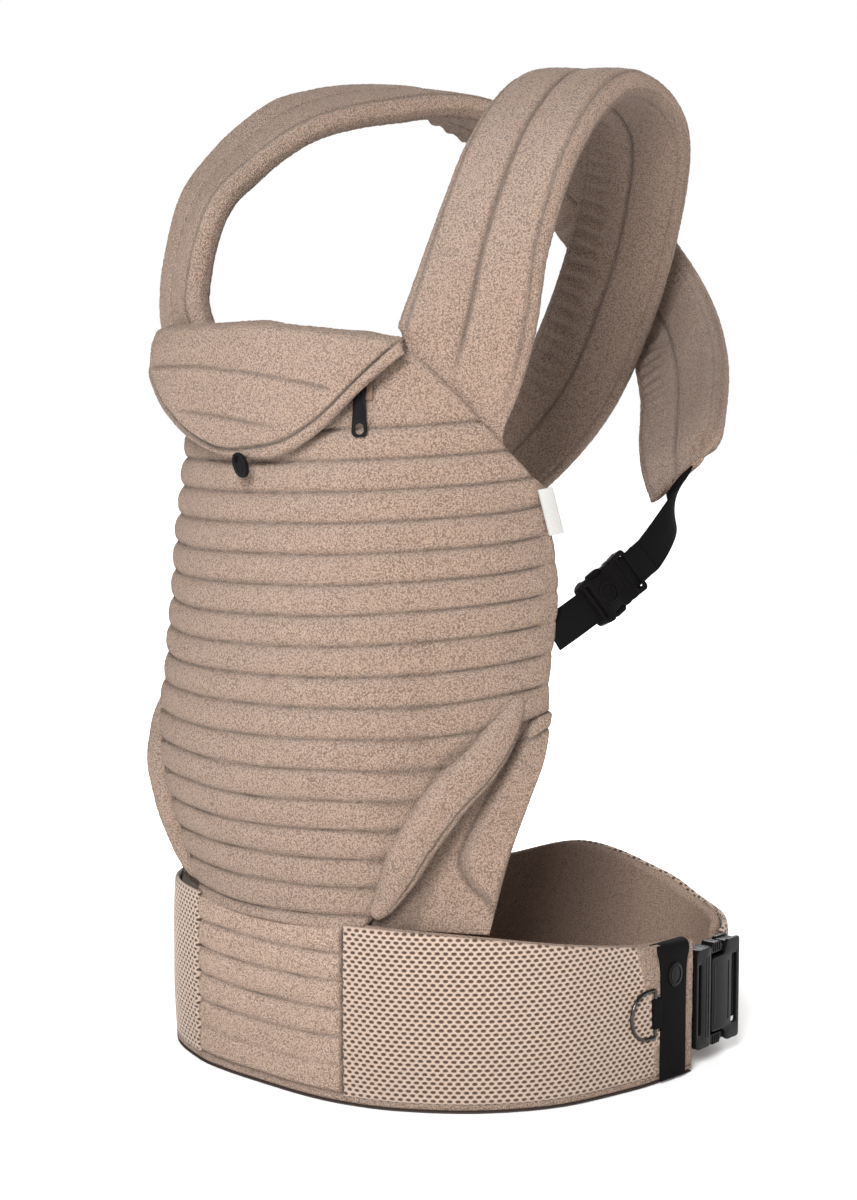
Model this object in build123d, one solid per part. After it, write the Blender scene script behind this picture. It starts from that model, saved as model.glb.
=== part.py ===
from build123d import *
import os
from math import sin, cos, radians, hypot

# Soft baby carrier: a quilted front panel on a padded waist belt, two shoulder straps that
# cross behind, a folded head flap, and three side-release buckles.
# Millimetres. It is drawn with its centre plane at x = 0 and its front towards -Y, then moved so
# that the origin is the middle of its footprint.
ORIGIN_X = 14.03
ORIGIN_Y = 58.98
GAP = 0.3

# Waist belt: plan of the outer face, from the middle of the front
BELT_THICKNESS = 12.0
MESH_THICKNESS = 3.0
HEM_HEIGHT = 4.0
SEAM_X = 75.0
NEAR_END_STATION = 19
NEAR_PATH = [(0, -146), (40, -145), (SEAM_X, -139), (112, -124), (155, -92), (188, -47), (206, 12),
             (211, 44), (214, 74)]
FAR_PATH = [(0, -146), (-40, -145), (-SEAM_X, -139), (-120, -118), (-160, -72), (-176, -10),
            (-166, 60), (-125, 128), (-55, 172), (30, 190), (110, 187), (152, 179), (180, 163)]
FAR_END_OUTER = [(181, 162.3), (191, 153.2), (197.5, 143.5), (200, 134)]
FAR_END_INNER = [(181, 145.5), (184.5, 141.8), (187, 136.8), (188.3, 131.2)]
NEAR_TOPS = [126, 126, 126, 125, 121, 113, 103, 100, 98]
FAR_TOPS = [126, 126, 126, 125, 120, 112, 106, 102, 101, 124, 113, 100, 97]
FAR_END_TOPS = [96.5, 95, 93, 90]

# Front panel: horizontal slices are half ellipses; angle 0 is the front, 90 the right-hand edge
PANEL_LEVELS = [130, 170, 230, 300, 400, 470, 530]
PANEL_WIDTHS = [140, 158, 170, 166, 161, 159, 152]
PANEL_DEPTHS = [112, 122, 136, 134, 128, 117, 109]
PANEL_CENTRE_LOW = -40.0
PANEL_CENTRE_RISE = 20.0 / 390.0
EDGE_ANGLES = [0, 20, 33, 38, 42, 48, 55, 64, 71, 77, 90]
EDGE_LOWS = [130, 130, 130, 168, 200, 229, 245, 267, 287, 299, 303]
TOP_ANGLES = [0, 38, 54, 70, 80, 90]
TOP_HIGHS = [521, 521, 490, 455, 436, 421]
SHELL = 6.0
PADDING = 5.0
LINING = 2.0

# Seat edges: padded rolls and the gussets below them
ROLL_RADIUS = 12.5
ROLL_PATH = [(39.5, 134), (43, 150), (48, 184), (55, 214), (64, 238), (71, 258), (77, 276)]
GUSSET_THICKNESS = 8.0

# Head flap, folded forward over the panel's top edge
FLAP_LEFT = -50.0
FLAP_RIGHT = 41.0
FLAP_LOWEST = 2.0
FLAP_TOP = 519.0
FLAP_SIDE = 513.0
FLAP_BOTTOM = 437.0
FLAP_THICKNESS = 8.0
FLAP_INNER_WIDTH = 166.0
FLAP_INNER_DEPTH = 129.0
FLAP_CENTRE_Y = -21.0
PIPING_HEIGHT = 6.0
TOGGLE_X = 1.0
TOGGLE_Z = 438.0

# Zipper under the flap, on an arc about a vertical line
ZIP_CENTRE_Y = 83.0
ZIP_RADIUS = 222.4
ZIP_Z = 488.0
ZIP_HALF_ANGLE = 24.0
ZIP_SLIDER_ANGLE = 20.5

# Shoulder straps: centre, width direction and half width at each station
STRAP_THICKNESS = 16.0
STRAP_LINING = 4.0
STRAP_RIGHT = [((126, -87, 496), (0.60, 0.46, -0.66), 46), ((127, -70, 539), (0.85, 0.46, -0.24), 45),
               ((127, -50, 590), (0.92, 0.38, 0), 42), ((122, -8, 655), (0.94, 0.33, 0), 42),
               ((112, 52, 700), (0.96, 0.26, -0.05), 43), ((103, 112, 708), (0.95, 0.26, -0.1), 43),
               ((90, 168, 683), (0.88, 0.32, -0.2), 43), ((58, 205, 625), (0.84, 0.32, -0.38), 43),
               ((30, 210, 554), (0.8, 0.3, -0.45), 43), ((-4, 203, 485), (0.75, 0.32, -0.5), 42),
               ((-52, 180, 425), (0.6, 0.3, -0.62), 38), ((-100, 152, 394), (0.5, 0.2, -0.8), 28),
               ((-128, 134, 387), (0.3, 0.1, -0.9), 18)]
STRAP_LEFT = [((-124, -86, 493), (-0.60, 0.46, -0.66), 47), ((-146, -79, 550), (-0.85, 0.46, -0.1), 45),
              ((-147, -64, 612), (-0.88, 0.44, 0.1), 42), ((-145, -30, 655), (-0.9, 0.4, 0.2), 42),
              ((-128, 24, 697), (-0.91, 0.33, 0.27), 42), ((-104, 90, 714), (-0.91, 0.36, 0.27), 42),
              ((-78, 148, 713), (-0.9, 0.4, 0.1), 42), ((-34, 216, 674), (-0.86, 0.3, -0.28), 42),
              ((6, 266, 608), (-0.86, 0.1, -0.5), 42), ((48, 272, 550), (-0.86, 0.0, -0.5), 42),
              ((92, 234, 500), (-0.8, -0.2, -0.5), 40), ((127, 181, 456), (-0.7, -0.4, -0.55), 36),
              ((146, 148, 422), (-0.5, -0.5, -0.6), 26)]

# Buckles: the axis runs from the socket's webbing bar towards the plug
WEBBING = 2.0
LOOP_WEBBING = 1.6
SHOULDER_WEB = 25.0
WAIST_WEB = 50.0
SHOULDER_AT = (165, 14, 338)
SHOULDER_AXIS = (0.038, 0.891, 0.452)
SHOULDER_FACE = (0.893, -0.233, 0.384)
SHOULDER_SIZE = (34.0, 36.0, 10.0)
SHOULDER_BASE = 18.0
SHOULDER_TRAVEL = 24.0
WAIST_AT = (210, 76, 52)
WAIST_SIZE = (38.0, 76.0, 14.0)
WAIST_BASE = 22.0


# ---------------------------------------------------------------- helpers

def between(xs, ys, x):
    """Straight-line value of the rows xs -> ys at x."""
    for i in range(len(xs) - 1):
        if x <= xs[i + 1]:
            share = (x - xs[i]) / (xs[i + 1] - xs[i])
            return ys[i] + (ys[i + 1] - ys[i]) * share
    return ys[-1]


def smooth(points, steps):
    """Catmull-Rom curve through points of any length, with steps spans between neighbours."""
    first = [2 * a - b for a, b in zip(points[0], points[1])]
    last = [2 * a - b for a, b in zip(points[-1], points[-2])]
    row = [first] + [list(p) for p in points] + [last]
    curve = []
    for i in range(1, len(row) - 2):
        for k in range(steps):
            t = k / steps
            curve.append([0.5 * (2 * b + (c - a) * t + (2 * a - 5 * b + 4 * c - d) * t ** 2
                                 + (3 * b - a - 3 * c + d) * t ** 3)
                          for a, b, c, d in zip(row[i - 1], row[i], row[i + 1], row[i + 2])])
    curve.append(list(points[-1]))
    return curve


def flat_face(*corners):
    return Face(Wire.make_polygon([Vector(*c) for c in corners], close=True))


def skinned(sections):
    """Flat-faced solid through closed polygons that all have the same number of corners."""
    faces = []
    corners = len(sections[0])
    for lower, upper in zip(sections, sections[1:]):
        for k in range(corners):
            a, b = lower[k - 1], lower[k]
            c, d = upper[k - 1], upper[k]
            inner_side = k > corners // 2
            faces.append(flat_face(a, b, c) if inner_side else flat_face(a, b, d))
            faces.append(flat_face(b, d, c) if inner_side else flat_face(a, d, c))
    for end in (sections[0], sections[-1]):
        half = corners // 2
        for k in range(half - 1):
            faces.append(flat_face(end[k], end[k + 1], end[corners - 2 - k]))
            faces.append(flat_face(end[k], end[corners - 2 - k], end[corners - 1 - k]))
    return Solid(Shell(faces))


# ---------------------------------------------------------------- belt

def belt_rows(path, tops):
    """Plan stations of a belt run: outer point, inward normal and top height."""
    heights = [(p[0], p[1], t) for p, t in zip(path, tops)]
    rows = smooth(heights, 3)
    stations = []
    for i, (x, y, top) in enumerate(rows):
        before = rows[max(i - 1, 0)]
        after = rows[min(i + 1, len(rows) - 1)]
        run = hypot(after[0] - before[0], after[1] - before[1])
        along = ((after[0] - before[0]) / run, (after[1] - before[1]) / run)
        inward = (-along[1], along[0])
        if inward[0] * x + inward[1] * (y - 15) > 0:
            inward = (along[1], -along[0])
        stations.append((x, y, inward, top))
    return stations


def belt_strip(stations, outer, inner, low):
    """Band of the belt between two depths, from the height low up to each station's top."""
    sections = []
    for x, y, inward, top in stations:
        a = (x + inward[0] * outer, y + inward[1] * outer)
        b = (x + inward[0] * inner, y + inward[1] * inner)
        sections.append([(*a, low), (*a, top), (*b, top), (*b, low)])
    return skinned(sections)


def belt_layers(stations):
    """Outer cloth, foam with lining, and bottom hem of one run of the belt."""
    low = HEM_HEIGHT + GAP
    cloth = belt_strip(stations, 0, MESH_THICKNESS, low)
    foam = belt_strip(stations, MESH_THICKNESS + GAP, BELT_THICKNESS, low)
    foot = [(x, y, inward, HEM_HEIGHT) for x, y, inward, top in stations]
    hem = belt_strip(foot, 0.5, BELT_THICKNESS - 0.5, 0)
    return cloth, foam, hem


def make_belt(parts):
    near = belt_rows(NEAR_PATH, NEAR_TOPS)
    far = belt_rows(FAR_PATH, FAR_TOPS)
    far_end = []
    for (x, y), (u, v), top in zip(FAR_END_OUTER, FAR_END_INNER, FAR_END_TOPS):
        far_end.append((x, y, ((u - x) / BELT_THICKNESS, (v - y) / BELT_THICKNESS), top))
    seam = 6
    front = far[seam:0:-1] + near[:seam + 1]
    gap_near = [(near[seam][0] + 0.4, near[seam][1] + 0.1, near[seam][2], near[seam][3])]
    gap_far = [(far[seam][0] - 0.4, far[seam][1] + 0.1, far[seam][2], far[seam][3])]
    x, y, inward, top = far[-1]
    cut_end = [(x, y, (0.0, -1.0 / abs(inward[1])), top)]
    runs = {"belt_front": front, "near_wing": gap_near + near[seam + 1:],
            "far_wing": gap_far + far[seam + 1:-1] + cut_end, "far_wing_end": far_end}
    for name, stations in runs.items():
        cloth, foam, hem = belt_layers(stations)
        parts[name + ("_cover" if name == "belt_front" else "_mesh")] = cloth
        parts[name + "_foam"] = foam
        parts[name + "_hem"] = hem
    x, y, inward, top = near[NEAR_END_STATION]
    low = HEM_HEIGHT + GAP
    mesh = gap_near + near[seam + 1:NEAR_END_STATION + 1]
    cover = [(x, y + 0.4, inward, top)] + near[NEAR_END_STATION + 1:]
    parts["near_wing_mesh"] = belt_strip(mesh, 0, MESH_THICKNESS, low)
    parts["near_end_cover"] = belt_strip(cover, 0, MESH_THICKNESS, low)


def make_belt_trim(parts):
    """Webbing keeper, snap, D-ring and its tab on the near wing's outer face."""
    tilt = Plane(origin=(211.9, 50, 0), x_dir=(0.095, 0.995, 0), z_dir=(0.995, -0.095, 0))
    keeper = Pos(0, 50, WEBBING / 2) * Box(27, 92, WEBBING)
    snap = Pos(0, 78, WEBBING + GAP + 1.5) * extrude(Ellipse(7.5, 9), 1.5, both=True)
    parts["keeper_webbing"] = tilt.location * Pos(0, 0, 0.6) * keeper
    parts["snap_cap"] = tilt.location * Pos(0, 0, 0.6) * snap
    tab_plane = Plane(origin=(209.6, 31, 53), x_dir=(0.14, 0.99, 0), z_dir=(0.99, -0.14, 0))
    tab = Pos(0.5, 0, 2.9) * Box(8.5, 22, 4.6) - Pos(0, 0, 2.9) * Rot(90, 0, 0) * Cylinder(1.5, 30)
    parts["d_ring_tab"] = tab_plane.location * tab
    bar = Pos(0, 0, 2.9) * Rot(90, 0, 0) * Cylinder(1.2, 34)
    bow_path = Wire([Edge.make_line((0, 17), (-8, 17)), Edge.make_three_point_arc((-8, 17), (-24, 0), (-8, -17)),
                     Edge.make_line((-8, -17), (0, -17))])
    bow = sweep(Plane(origin=(0, 17, 0), z_dir=(-1, 0, 0)) * Circle(1.2), bow_path)
    corners = Pos(0, 17, 2.9) * Sphere(1.2) + Pos(0, -17, 2.9) * Sphere(1.2)
    parts["d_ring"] = tab_plane.location * (bar + Pos(0, 0, 2.9) * bow + corners)


# ---------------------------------------------------------------- front panel

def panel_point(angle, z, depth=0.0):
    """Point of the panel's outer face at angle and height, depth mm inside it."""
    a = between(PANEL_LEVELS, PANEL_WIDTHS, z) - depth
    b = between(PANEL_LEVELS, PANEL_DEPTHS, z) - depth
    centre = PANEL_CENTRE_LOW + PANEL_CENTRE_RISE * (z - PANEL_LEVELS[0])
    return (a * sin(radians(angle)), centre - b * cos(radians(angle)), z)


def panel_layer(outer, inner, trim):
    """One layer of the panel between two depths, trim mm smaller at its top and bottom edges."""
    angles = sorted({-a for a in EDGE_ANGLES} | set(EDGE_ANGLES) | {-a for a in TOP_ANGLES} | set(TOP_ANGLES))
    sections = []
    for angle in angles:
        low = between(EDGE_ANGLES, EDGE_LOWS, abs(angle)) + trim
        high = between(TOP_ANGLES, TOP_HIGHS, abs(angle)) - trim
        heights = [low + (high - low) * k / 5 for k in range(6)]
        section = [panel_point(angle, z, outer) for z in heights]
        section += [panel_point(angle, z, inner) for z in reversed(heights)]
        sections.append(section)
    return skinned(sections)


def make_panel(parts):
    parts["panel_shell"] = panel_layer(0, SHELL, 0)
    parts["panel_padding"] = panel_layer(SHELL + 2 * GAP, SHELL + PADDING, 2)
    start = SHELL + PADDING + 2 * GAP
    parts["panel_lining"] = panel_layer(start, start + LINING, 0)


def make_seat_edges(parts):
    """Padded roll along each lower corner of the panel, and the gusset between roll and belt."""
    for side, name in ((1, "right"), (-1, "left")):
        centres = [panel_point(angle, z, 3.0) for angle, z in ROLL_PATH]
        route = smooth([(side * x, y, z) for x, y, z in centres], 2)
        sections = []
        for i, here in enumerate(route):
            along = (Vector(*route[min(i + 1, len(route) - 1)]) - Vector(*route[max(i - 1, 0)])).normalized()
            out = (Vector(here[0], here[1] - PANEL_CENTRE_LOW, 0)).normalized()
            across = along.cross(out).normalized()
            out = across.cross(along).normalized()
            taper = 0.62 if i in (0, len(route) - 1) else 1.0
            ring = [Vector(*here) + out * (ROLL_RADIUS * taper * cos(radians(k * 45)))
                    + across * (ROLL_RADIUS * taper * sin(radians(k * 45))) for k in range(8)]
            sections.append([tuple(p) for p in ring])
        parts["leg_roll_" + name] = skinned(sections)
        inner_edge = [(52, 131), (57, 168), (62.5, 199), (70, 222), (80, 241)]
        outer_edge = [(157, -84, 126), (159, -66, 170), (162, -50, 208), (165, -36, 240), (167, -24, 268)]
        rows = []
        for (angle, z), (x, y, high) in zip(inner_edge, outer_edge):
            left = Vector(*panel_point(angle, z, 6.0))
            right = Vector(x, y, high)
            inward = Vector(-0.85, 0.52, 0) * GUSSET_THICKNESS
            corners = [left, right, right + inward, left + inward]
            rows.append([(side * p.X, p.Y, p.Z) for p in corners])
        parts["seat_gusset_" + name] = skinned(rows)


# ---------------------------------------------------------------- head flap

def flap_point(angle, z, depth):
    a = FLAP_INNER_WIDTH + FLAP_THICKNESS - depth
    b = FLAP_INNER_DEPTH + FLAP_THICKNESS - depth
    return (a * sin(radians(angle)), FLAP_CENTRE_Y - b * cos(radians(angle)), z)


def flap_low(angle):
    """Height of the flap's lower edge, a lopsided curve with its lowest point right of the middle."""
    reach = FLAP_RIGHT if angle > FLAP_LOWEST else FLAP_LEFT
    share = (angle - FLAP_LOWEST) / (reach - FLAP_LOWEST)
    return FLAP_BOTTOM + (FLAP_SIDE - FLAP_BOTTOM) * share ** 1.7


def make_flap(parts):
    count = 16
    body = []
    piping = []
    for i in range(count + 1):
        angle = FLAP_LEFT + (FLAP_RIGHT - FLAP_LEFT) * i / count
        low = flap_low(angle)
        body.append([flap_point(angle, low, 0), flap_point(angle, FLAP_TOP, 0),
                     flap_point(angle, FLAP_TOP, FLAP_THICKNESS), flap_point(angle, low, FLAP_THICKNESS)])
        edge = low - 2 * GAP
        piping.append([flap_point(angle, edge - PIPING_HEIGHT, 1), flap_point(angle, edge, 1),
                       flap_point(angle, edge, FLAP_THICKNESS - 1),
                       flap_point(angle, edge - PIPING_HEIGHT, FLAP_THICKNESS - 1)])
    parts["head_flap"] = skinned(body)
    parts["flap_piping"] = skinned(piping)
    front = flap_point(4, 0, 0)[1]
    parts["toggle_tab"] = Pos(TOGGLE_X, front - 2.4, TOGGLE_Z + 8) * Box(6, 1.6, 11)
    oval = Rot(90, 0, 0) * extrude(Ellipse(5.5, 9), 1.9, both=True)
    slot = Pos(0, 0, 6.5) * Box(7, 2.2, 9)
    parts["toggle_button"] = Pos(TOGGLE_X, front - 2.4, TOGGLE_Z) * (oval - slot)


# ---------------------------------------------------------------- zipper

def arc_band(inner, outer, low, high, reach):
    """Part of a ring about the zipper's centre, reach degrees each side of the front."""
    ring = Pos(0, 0, low) * (extrude(Circle(outer) - Circle(inner), high - low))
    far = 2 * outer
    corners = [(0, 0)] + [(far * sin(radians(a)), -far * cos(radians(a))) for a in (-reach, 0, reach)]
    wedge = extrude(make_face(Polyline(*corners, close=True)), 1000)
    return Pos(0, ZIP_CENTRE_Y, 0) * (ring & wedge)


def make_zipper(parts):
    parts["zipper_tape"] = arc_band(ZIP_RADIUS - 1.2, ZIP_RADIUS, ZIP_Z - 6, ZIP_Z + 6, ZIP_HALF_ANGLE)
    turn = radians(ZIP_SLIDER_ANGLE)
    centre = (ZIP_RADIUS * sin(turn), ZIP_CENTRE_Y - ZIP_RADIUS * cos(turn), ZIP_Z)
    local = Plane(origin=centre, x_dir=(cos(turn), sin(turn), 0), z_dir=(sin(turn), -cos(turn), 0))
    slider = Pos(0, 0, 1.7) * Box(7, 10, 2.6)
    stem = Pos(0, -2.5, 3.8) * Cylinder(1.2, 1.8)
    parts["zipper_slider"] = local.location * (slider + stem)
    plate = SlotOverall(30, 9, rotation=90)
    hole = Pos(0, -9.5) * SlotOverall(8, 5.4, rotation=90)
    pull = Pos(0, -14.5, 3.3) * extrude(plate - hole - Pos(0, 12) * Circle(1.5), 1.3)
    parts["zipper_pull"] = local.location * pull


# ---------------------------------------------------------------- shoulder straps

def strap_rows(stations):
    """Smoothed strap stations: centre, width direction, face direction, half width."""
    flat = [(*c, *w, h) for c, w, h in stations]
    rows = smooth(flat, 2)
    result = []
    for i, row in enumerate(rows):
        ahead = Vector(*rows[min(i + 1, len(rows) - 1)][:3])
        behind = Vector(*rows[max(i - 1, 0)][:3])
        along = (ahead - behind).normalized()
        width = Vector(*row[3:6])
        if i > 0:
            width = width - along * width.dot(along)
        width = width.normalized()
        face = along.cross(width).normalized()
        result.append((Vector(*row[:3]), width, face, row[6]))
    return result


def strap_layer(rows, side, low, high, inset):
    """Band of the strap between two depths measured along its face direction."""
    sections = []
    for centre, width, face, half in rows:
        reach = width * (half - inset)
        a = face * (side * low)
        b = face * (side * high)
        corners = [centre - reach + a, centre + reach + a, centre + reach + b, centre - reach + b]
        sections.append([tuple(p) for p in corners])
    return skinned(sections)


def make_straps(parts):
    for stations, side, name in ((STRAP_RIGHT, 1, "right"), (STRAP_LEFT, -1, "left")):
        rows = strap_rows(stations)
        half = STRAP_THICKNESS / 2
        parts["strap_pad_" + name] = strap_layer(rows, -side, -half + STRAP_LINING + GAP, half, 0)
        parts["strap_lining_" + name] = strap_layer(rows, -side, -half, -half + STRAP_LINING, 1)


# ---------------------------------------------------------------- buckles

def socket(size, web):
    """Socket half: a flat box open towards +X, a webbing bar at the back, finger windows at the sides."""
    length, width, thick = size
    back = 9.0
    body = Pos(length / 2, 0, 0) * Box(length, width, thick)
    body = fillet(body.edges().filter_by(Axis.X), thick * 0.28)
    cavity = Pos(back + length / 2, 0, 0) * Box(length, width - 6, thick - 3.2)
    channel = Pos(back + 3 + length / 2, 0, 0) * Box(length, width + 4, thick - 4.4)
    slot = Pos(4.0, 0, 0) * Box(3.2, web + 2, thick + 2)
    face = body - cavity - channel - slot
    return face - Pos(0, 0, 0) * Box(5.0, web + 2, WEBBING + 1.0)


def plug(size, base, web):
    """Plug half: ribbed base with a webbing slot, and a centre tongue that enters the socket."""
    length, width, thick = size
    start = length + GAP
    block = Pos(start + base / 2, 0, 0) * Box(base, width * 0.94, thick)
    block = fillet(block.edges().filter_by(Axis.Z), 2.5)
    tongue_length = length - 12.0
    tongue = Pos(start - tongue_length / 2, 0, 0) * Box(tongue_length, width * 0.2, thick - 4.4)
    slot = Pos(start + base / 2 + 3, 0, 0) * Box(base, web + 2, 2 * WEBBING + 0.2)
    window = Pos(start + base * 0.62, 0, thick / 2) * Box(base * 0.34, web + 2, thick)
    ribs = [Pos(start + 1.6 + 1.8 * k, 0, thick / 2) * Box(0.8, width * 0.7, 0.8) for k in range(3)]
    return block + tongue - slot - window - ribs


def prong(size, side):
    """Sprung side arm of the plug, with its finger pad in the socket's side channel."""
    length, width, thick = size
    arm_width = width * 0.11
    offset = width / 2 - 3.5 - arm_width / 2
    tip = 12.5
    root = length - 0.4
    arm = Pos((root + tip) / 2, side * offset, 0) * Box(root - tip, arm_width, thick - 5.0)
    pad = Pos(tip + 5, side * (offset + 2.4), 0) * Box(10, arm_width, thick - 5.0)
    return arm + pad


def place(shape, at, axis, face):
    frame = Plane(origin=at, x_dir=axis, z_dir=face)
    return frame.location * shape


def make_shoulder_buckles(parts):
    for side, name in ((1, "right"), (-1, "left")):
        at = (side * SHOULDER_AT[0], SHOULDER_AT[1], SHOULDER_AT[2])
        axis = (side * SHOULDER_AXIS[0], SHOULDER_AXIS[1], SHOULDER_AXIS[2])
        face = (side * SHOULDER_FACE[0], SHOULDER_FACE[1], SHOULDER_FACE[2])
        parts["shoulder_socket_" + name] = place(socket(SHOULDER_SIZE, SHOULDER_WEB), at, axis, face)
        parts["shoulder_plug_" + name] = place(plug(SHOULDER_SIZE, SHOULDER_BASE, SHOULDER_WEB), at, axis, face)
        for upper, label in ((1, "a"), (-1, "b")):
            parts["shoulder_prong_" + name + "_" + label] = place(prong(SHOULDER_SIZE, upper), at, axis, face)
        make_shoulder_webbing(parts, side, name, Vector(*at), Vector(*axis), Vector(*face))


def web_strip(points, widths, thickness):
    """Flat webbing through points, each with its own width vector."""
    sections = []
    for i, (here, width) in enumerate(zip(points, widths)):
        along = (points[min(i + 1, len(points) - 1)] - points[max(i - 1, 0)]).normalized()
        width = width - along * width.dot(along) * 0.999
        face = along.cross(width).normalized() * (thickness / 2)
        half = width * 0.5
        corners = [here - half - face, here + half - face, here + half + face, here - half + face]
        sections.append([tuple(p) for p in corners])
    return skinned(sections)


def make_shoulder_webbing(parts, side, name, at, axis, face):
    """Fixed webbing from the strap's end, and the layer beside it that slides with the plug."""
    across = face.cross(axis).normalized()
    flat = across * SHOULDER_WEB
    last = STRAP_LEFT[-1] if side > 0 else STRAP_RIGHT[-1]
    strap_end = Vector(*last[0])
    run = (strap_end - Vector(*(STRAP_LEFT if side > 0 else STRAP_RIGHT)[-2][0])).normalized()
    width = Vector(*last[1]).normalized() * SHOULDER_WEB
    if width.dot(flat) < 0:
        width = width * -1
    layer = face * (LOOP_WEBBING / 2 + GAP / 2)
    loop_start = SHOULDER_SIZE[0] + GAP + SHOULDER_BASE * 0.5
    fixed_start = SHOULDER_SIZE[0] + SHOULDER_TRAVEL + 4
    loop = [at + axis * loop_start + layer, at + axis * (fixed_start + 10) + layer]
    parts["web_loop_" + name] = web_strip(loop, [flat] * 2, LOOP_WEBBING)
    points = [at + axis * fixed_start - layer, at + axis * 80 - layer, at + axis * 100 - layer,
              (at + axis * 112) * 0.5 + (strap_end + run * 14) * 0.5, strap_end + run * 1.5]
    widths = [flat, flat, flat, (flat + width) * 0.5, width]
    parts["strap_webbing_" + name] = web_strip(points, widths, LOOP_WEBBING)
    edge = Vector(side * 167.6, -21, 326)
    parts["side_webbing_" + name] = web_strip([edge, at + axis * 0.5, at + axis * 1.8], [flat] * 3, WEBBING)


def make_waist_buckle(parts):
    axis = (0, 1, 0)
    face = (1, 0, 0)
    parts["waist_socket"] = place(socket(WAIST_SIZE, WAIST_WEB), WAIST_AT, axis, face)
    parts["waist_plug"] = place(plug(WAIST_SIZE, WAIST_BASE, WAIST_WEB), WAIST_AT, axis, face)
    for side, label in ((1, "upper"), (-1, "lower")):
        parts["waist_prong_" + label] = place(prong(WAIST_SIZE, side), WAIST_AT, axis, face)
    x, y, z = WAIST_AT
    up = Vector(0, 0, WAIST_WEB)
    near = [Vector(x, y - 1.4, z), Vector(x, y + 1.8, z)]
    parts["waist_webbing_near"] = web_strip(near, [up] * 2, WEBBING)
    start = WAIST_SIZE[0] + GAP + WAIST_BASE * 0.55
    far = [Vector(x, y + start, z), Vector(x, y + start + 10, z), Vector(203.4, 147, z),
           Vector(197.2, 154, z), Vector(187, 162.6, z)]
    parts["waist_webbing_far"] = web_strip(far, [up] * 5, WEBBING)


def make_tag(parts):
    plane = Plane(origin=(164.8, -30, 407), x_dir=(0.2, 0.98, 0), z_dir=(0.98, -0.2, 0))
    parts["side_tag"] = plane.location * Rot(0, 0, 12) * Box(13, 32, 0.9)


parts = {}
make_belt(parts)
make_belt_trim(parts)
make_panel(parts)
make_seat_edges(parts)
make_flap(parts)
make_zipper(parts)
make_straps(parts)
make_shoulder_buckles(parts)
make_waist_buckle(parts)
make_tag(parts)

os.makedirs("parts", exist_ok=True)
for name, shape in parts.items():
    export_step(Pos(-ORIGIN_X, -ORIGIN_Y, 0) * shape, f"parts/{name}.step")
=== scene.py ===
import bmesh
import bpy
import numpy as np
from math import cos, radians, sin
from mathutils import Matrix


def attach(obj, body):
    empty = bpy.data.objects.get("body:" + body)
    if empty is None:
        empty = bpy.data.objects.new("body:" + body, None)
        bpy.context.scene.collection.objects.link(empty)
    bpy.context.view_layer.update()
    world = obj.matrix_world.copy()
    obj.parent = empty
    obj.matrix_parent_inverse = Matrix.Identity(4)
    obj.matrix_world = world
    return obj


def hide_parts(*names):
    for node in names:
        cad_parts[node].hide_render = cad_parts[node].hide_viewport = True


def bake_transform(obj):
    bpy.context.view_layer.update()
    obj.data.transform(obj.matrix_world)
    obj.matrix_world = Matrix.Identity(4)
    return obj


# Soft baby carrier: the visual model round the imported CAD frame. Sizes are millimetres in the
# drawing coordinates of the CAD model; to_frame() moves them to the row frame in metres.
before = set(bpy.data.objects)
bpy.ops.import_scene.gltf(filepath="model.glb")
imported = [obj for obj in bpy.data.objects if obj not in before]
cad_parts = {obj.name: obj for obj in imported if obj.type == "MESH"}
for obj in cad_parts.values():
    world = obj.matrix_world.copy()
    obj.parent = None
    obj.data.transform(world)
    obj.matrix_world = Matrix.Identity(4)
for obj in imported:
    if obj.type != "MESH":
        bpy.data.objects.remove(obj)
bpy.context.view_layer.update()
MM = 0.001
ORIGIN = np.array((14.03, 58.98, 0.0))
ROOT = "carrier"

# Belt: seams of its front cover, plan and top heights of its outer face, lower edge and highest
# top, pitch of the quilting, half width of the hem, how far the front cover can reach along either
# path, and where the far end's lower edge starts to rise
SEAM_X = 75.0
NEAR_PATH = [(0, -146), (40, -145), (75, -139), (112, -124), (155, -92), (188, -47), (206, 12),
             (211, 44), (214, 74)]
FAR_PATH = [(0, -146), (-40, -145), (-75, -139), (-120, -118), (-160, -72), (-176, -10),
            (-166, 60), (-125, 128), (-55, 172), (30, 190), (110, 187), (152, 179), (180, 163)]
FAR_END_PATH = [(181, 162.3), (191, 153.2), (197.5, 143.5), (200, 134)]
NEAR_TOPS = [126, 126, 126, 125, 121, 113, 103, 100, 98]
FAR_TOPS = [126, 126, 126, 125, 120, 112, 106, 102, 101, 124, 113, 100, 97]
FAR_END_TOPS = [96.5, 95, 93, 90]
BELT_LOW = 6.0
BELT_HIGH = 126.0
BELT_CHANNEL = 19.6
HEM_HALF = 6.6
FRONT_REACH = 120.0
FAR_END_RISE = 700.0

# Front panel: half ellipses by height, and its lower and upper edge by angle
PANEL_LEVELS = [130, 170, 230, 300, 400, 470, 530]
PANEL_WIDTHS = [140, 158, 170, 166, 161, 159, 152]
PANEL_DEPTHS = [112, 122, 136, 134, 128, 117, 109]
EDGE_ANGLES = [0, 20, 37, 44, 52, 64, 77, 90]
EDGE_LOWS = [120, 120, 122, 160, 214, 240, 262, 270]
TOP_ANGLES = [0, 38, 54, 70, 80, 90]
TOP_HIGHS = [521, 521, 490, 455, 436, 421]
CHANNEL = 20.6
FIRST_CHANNEL = 130.0
LAST_CHANNEL = 16

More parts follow.
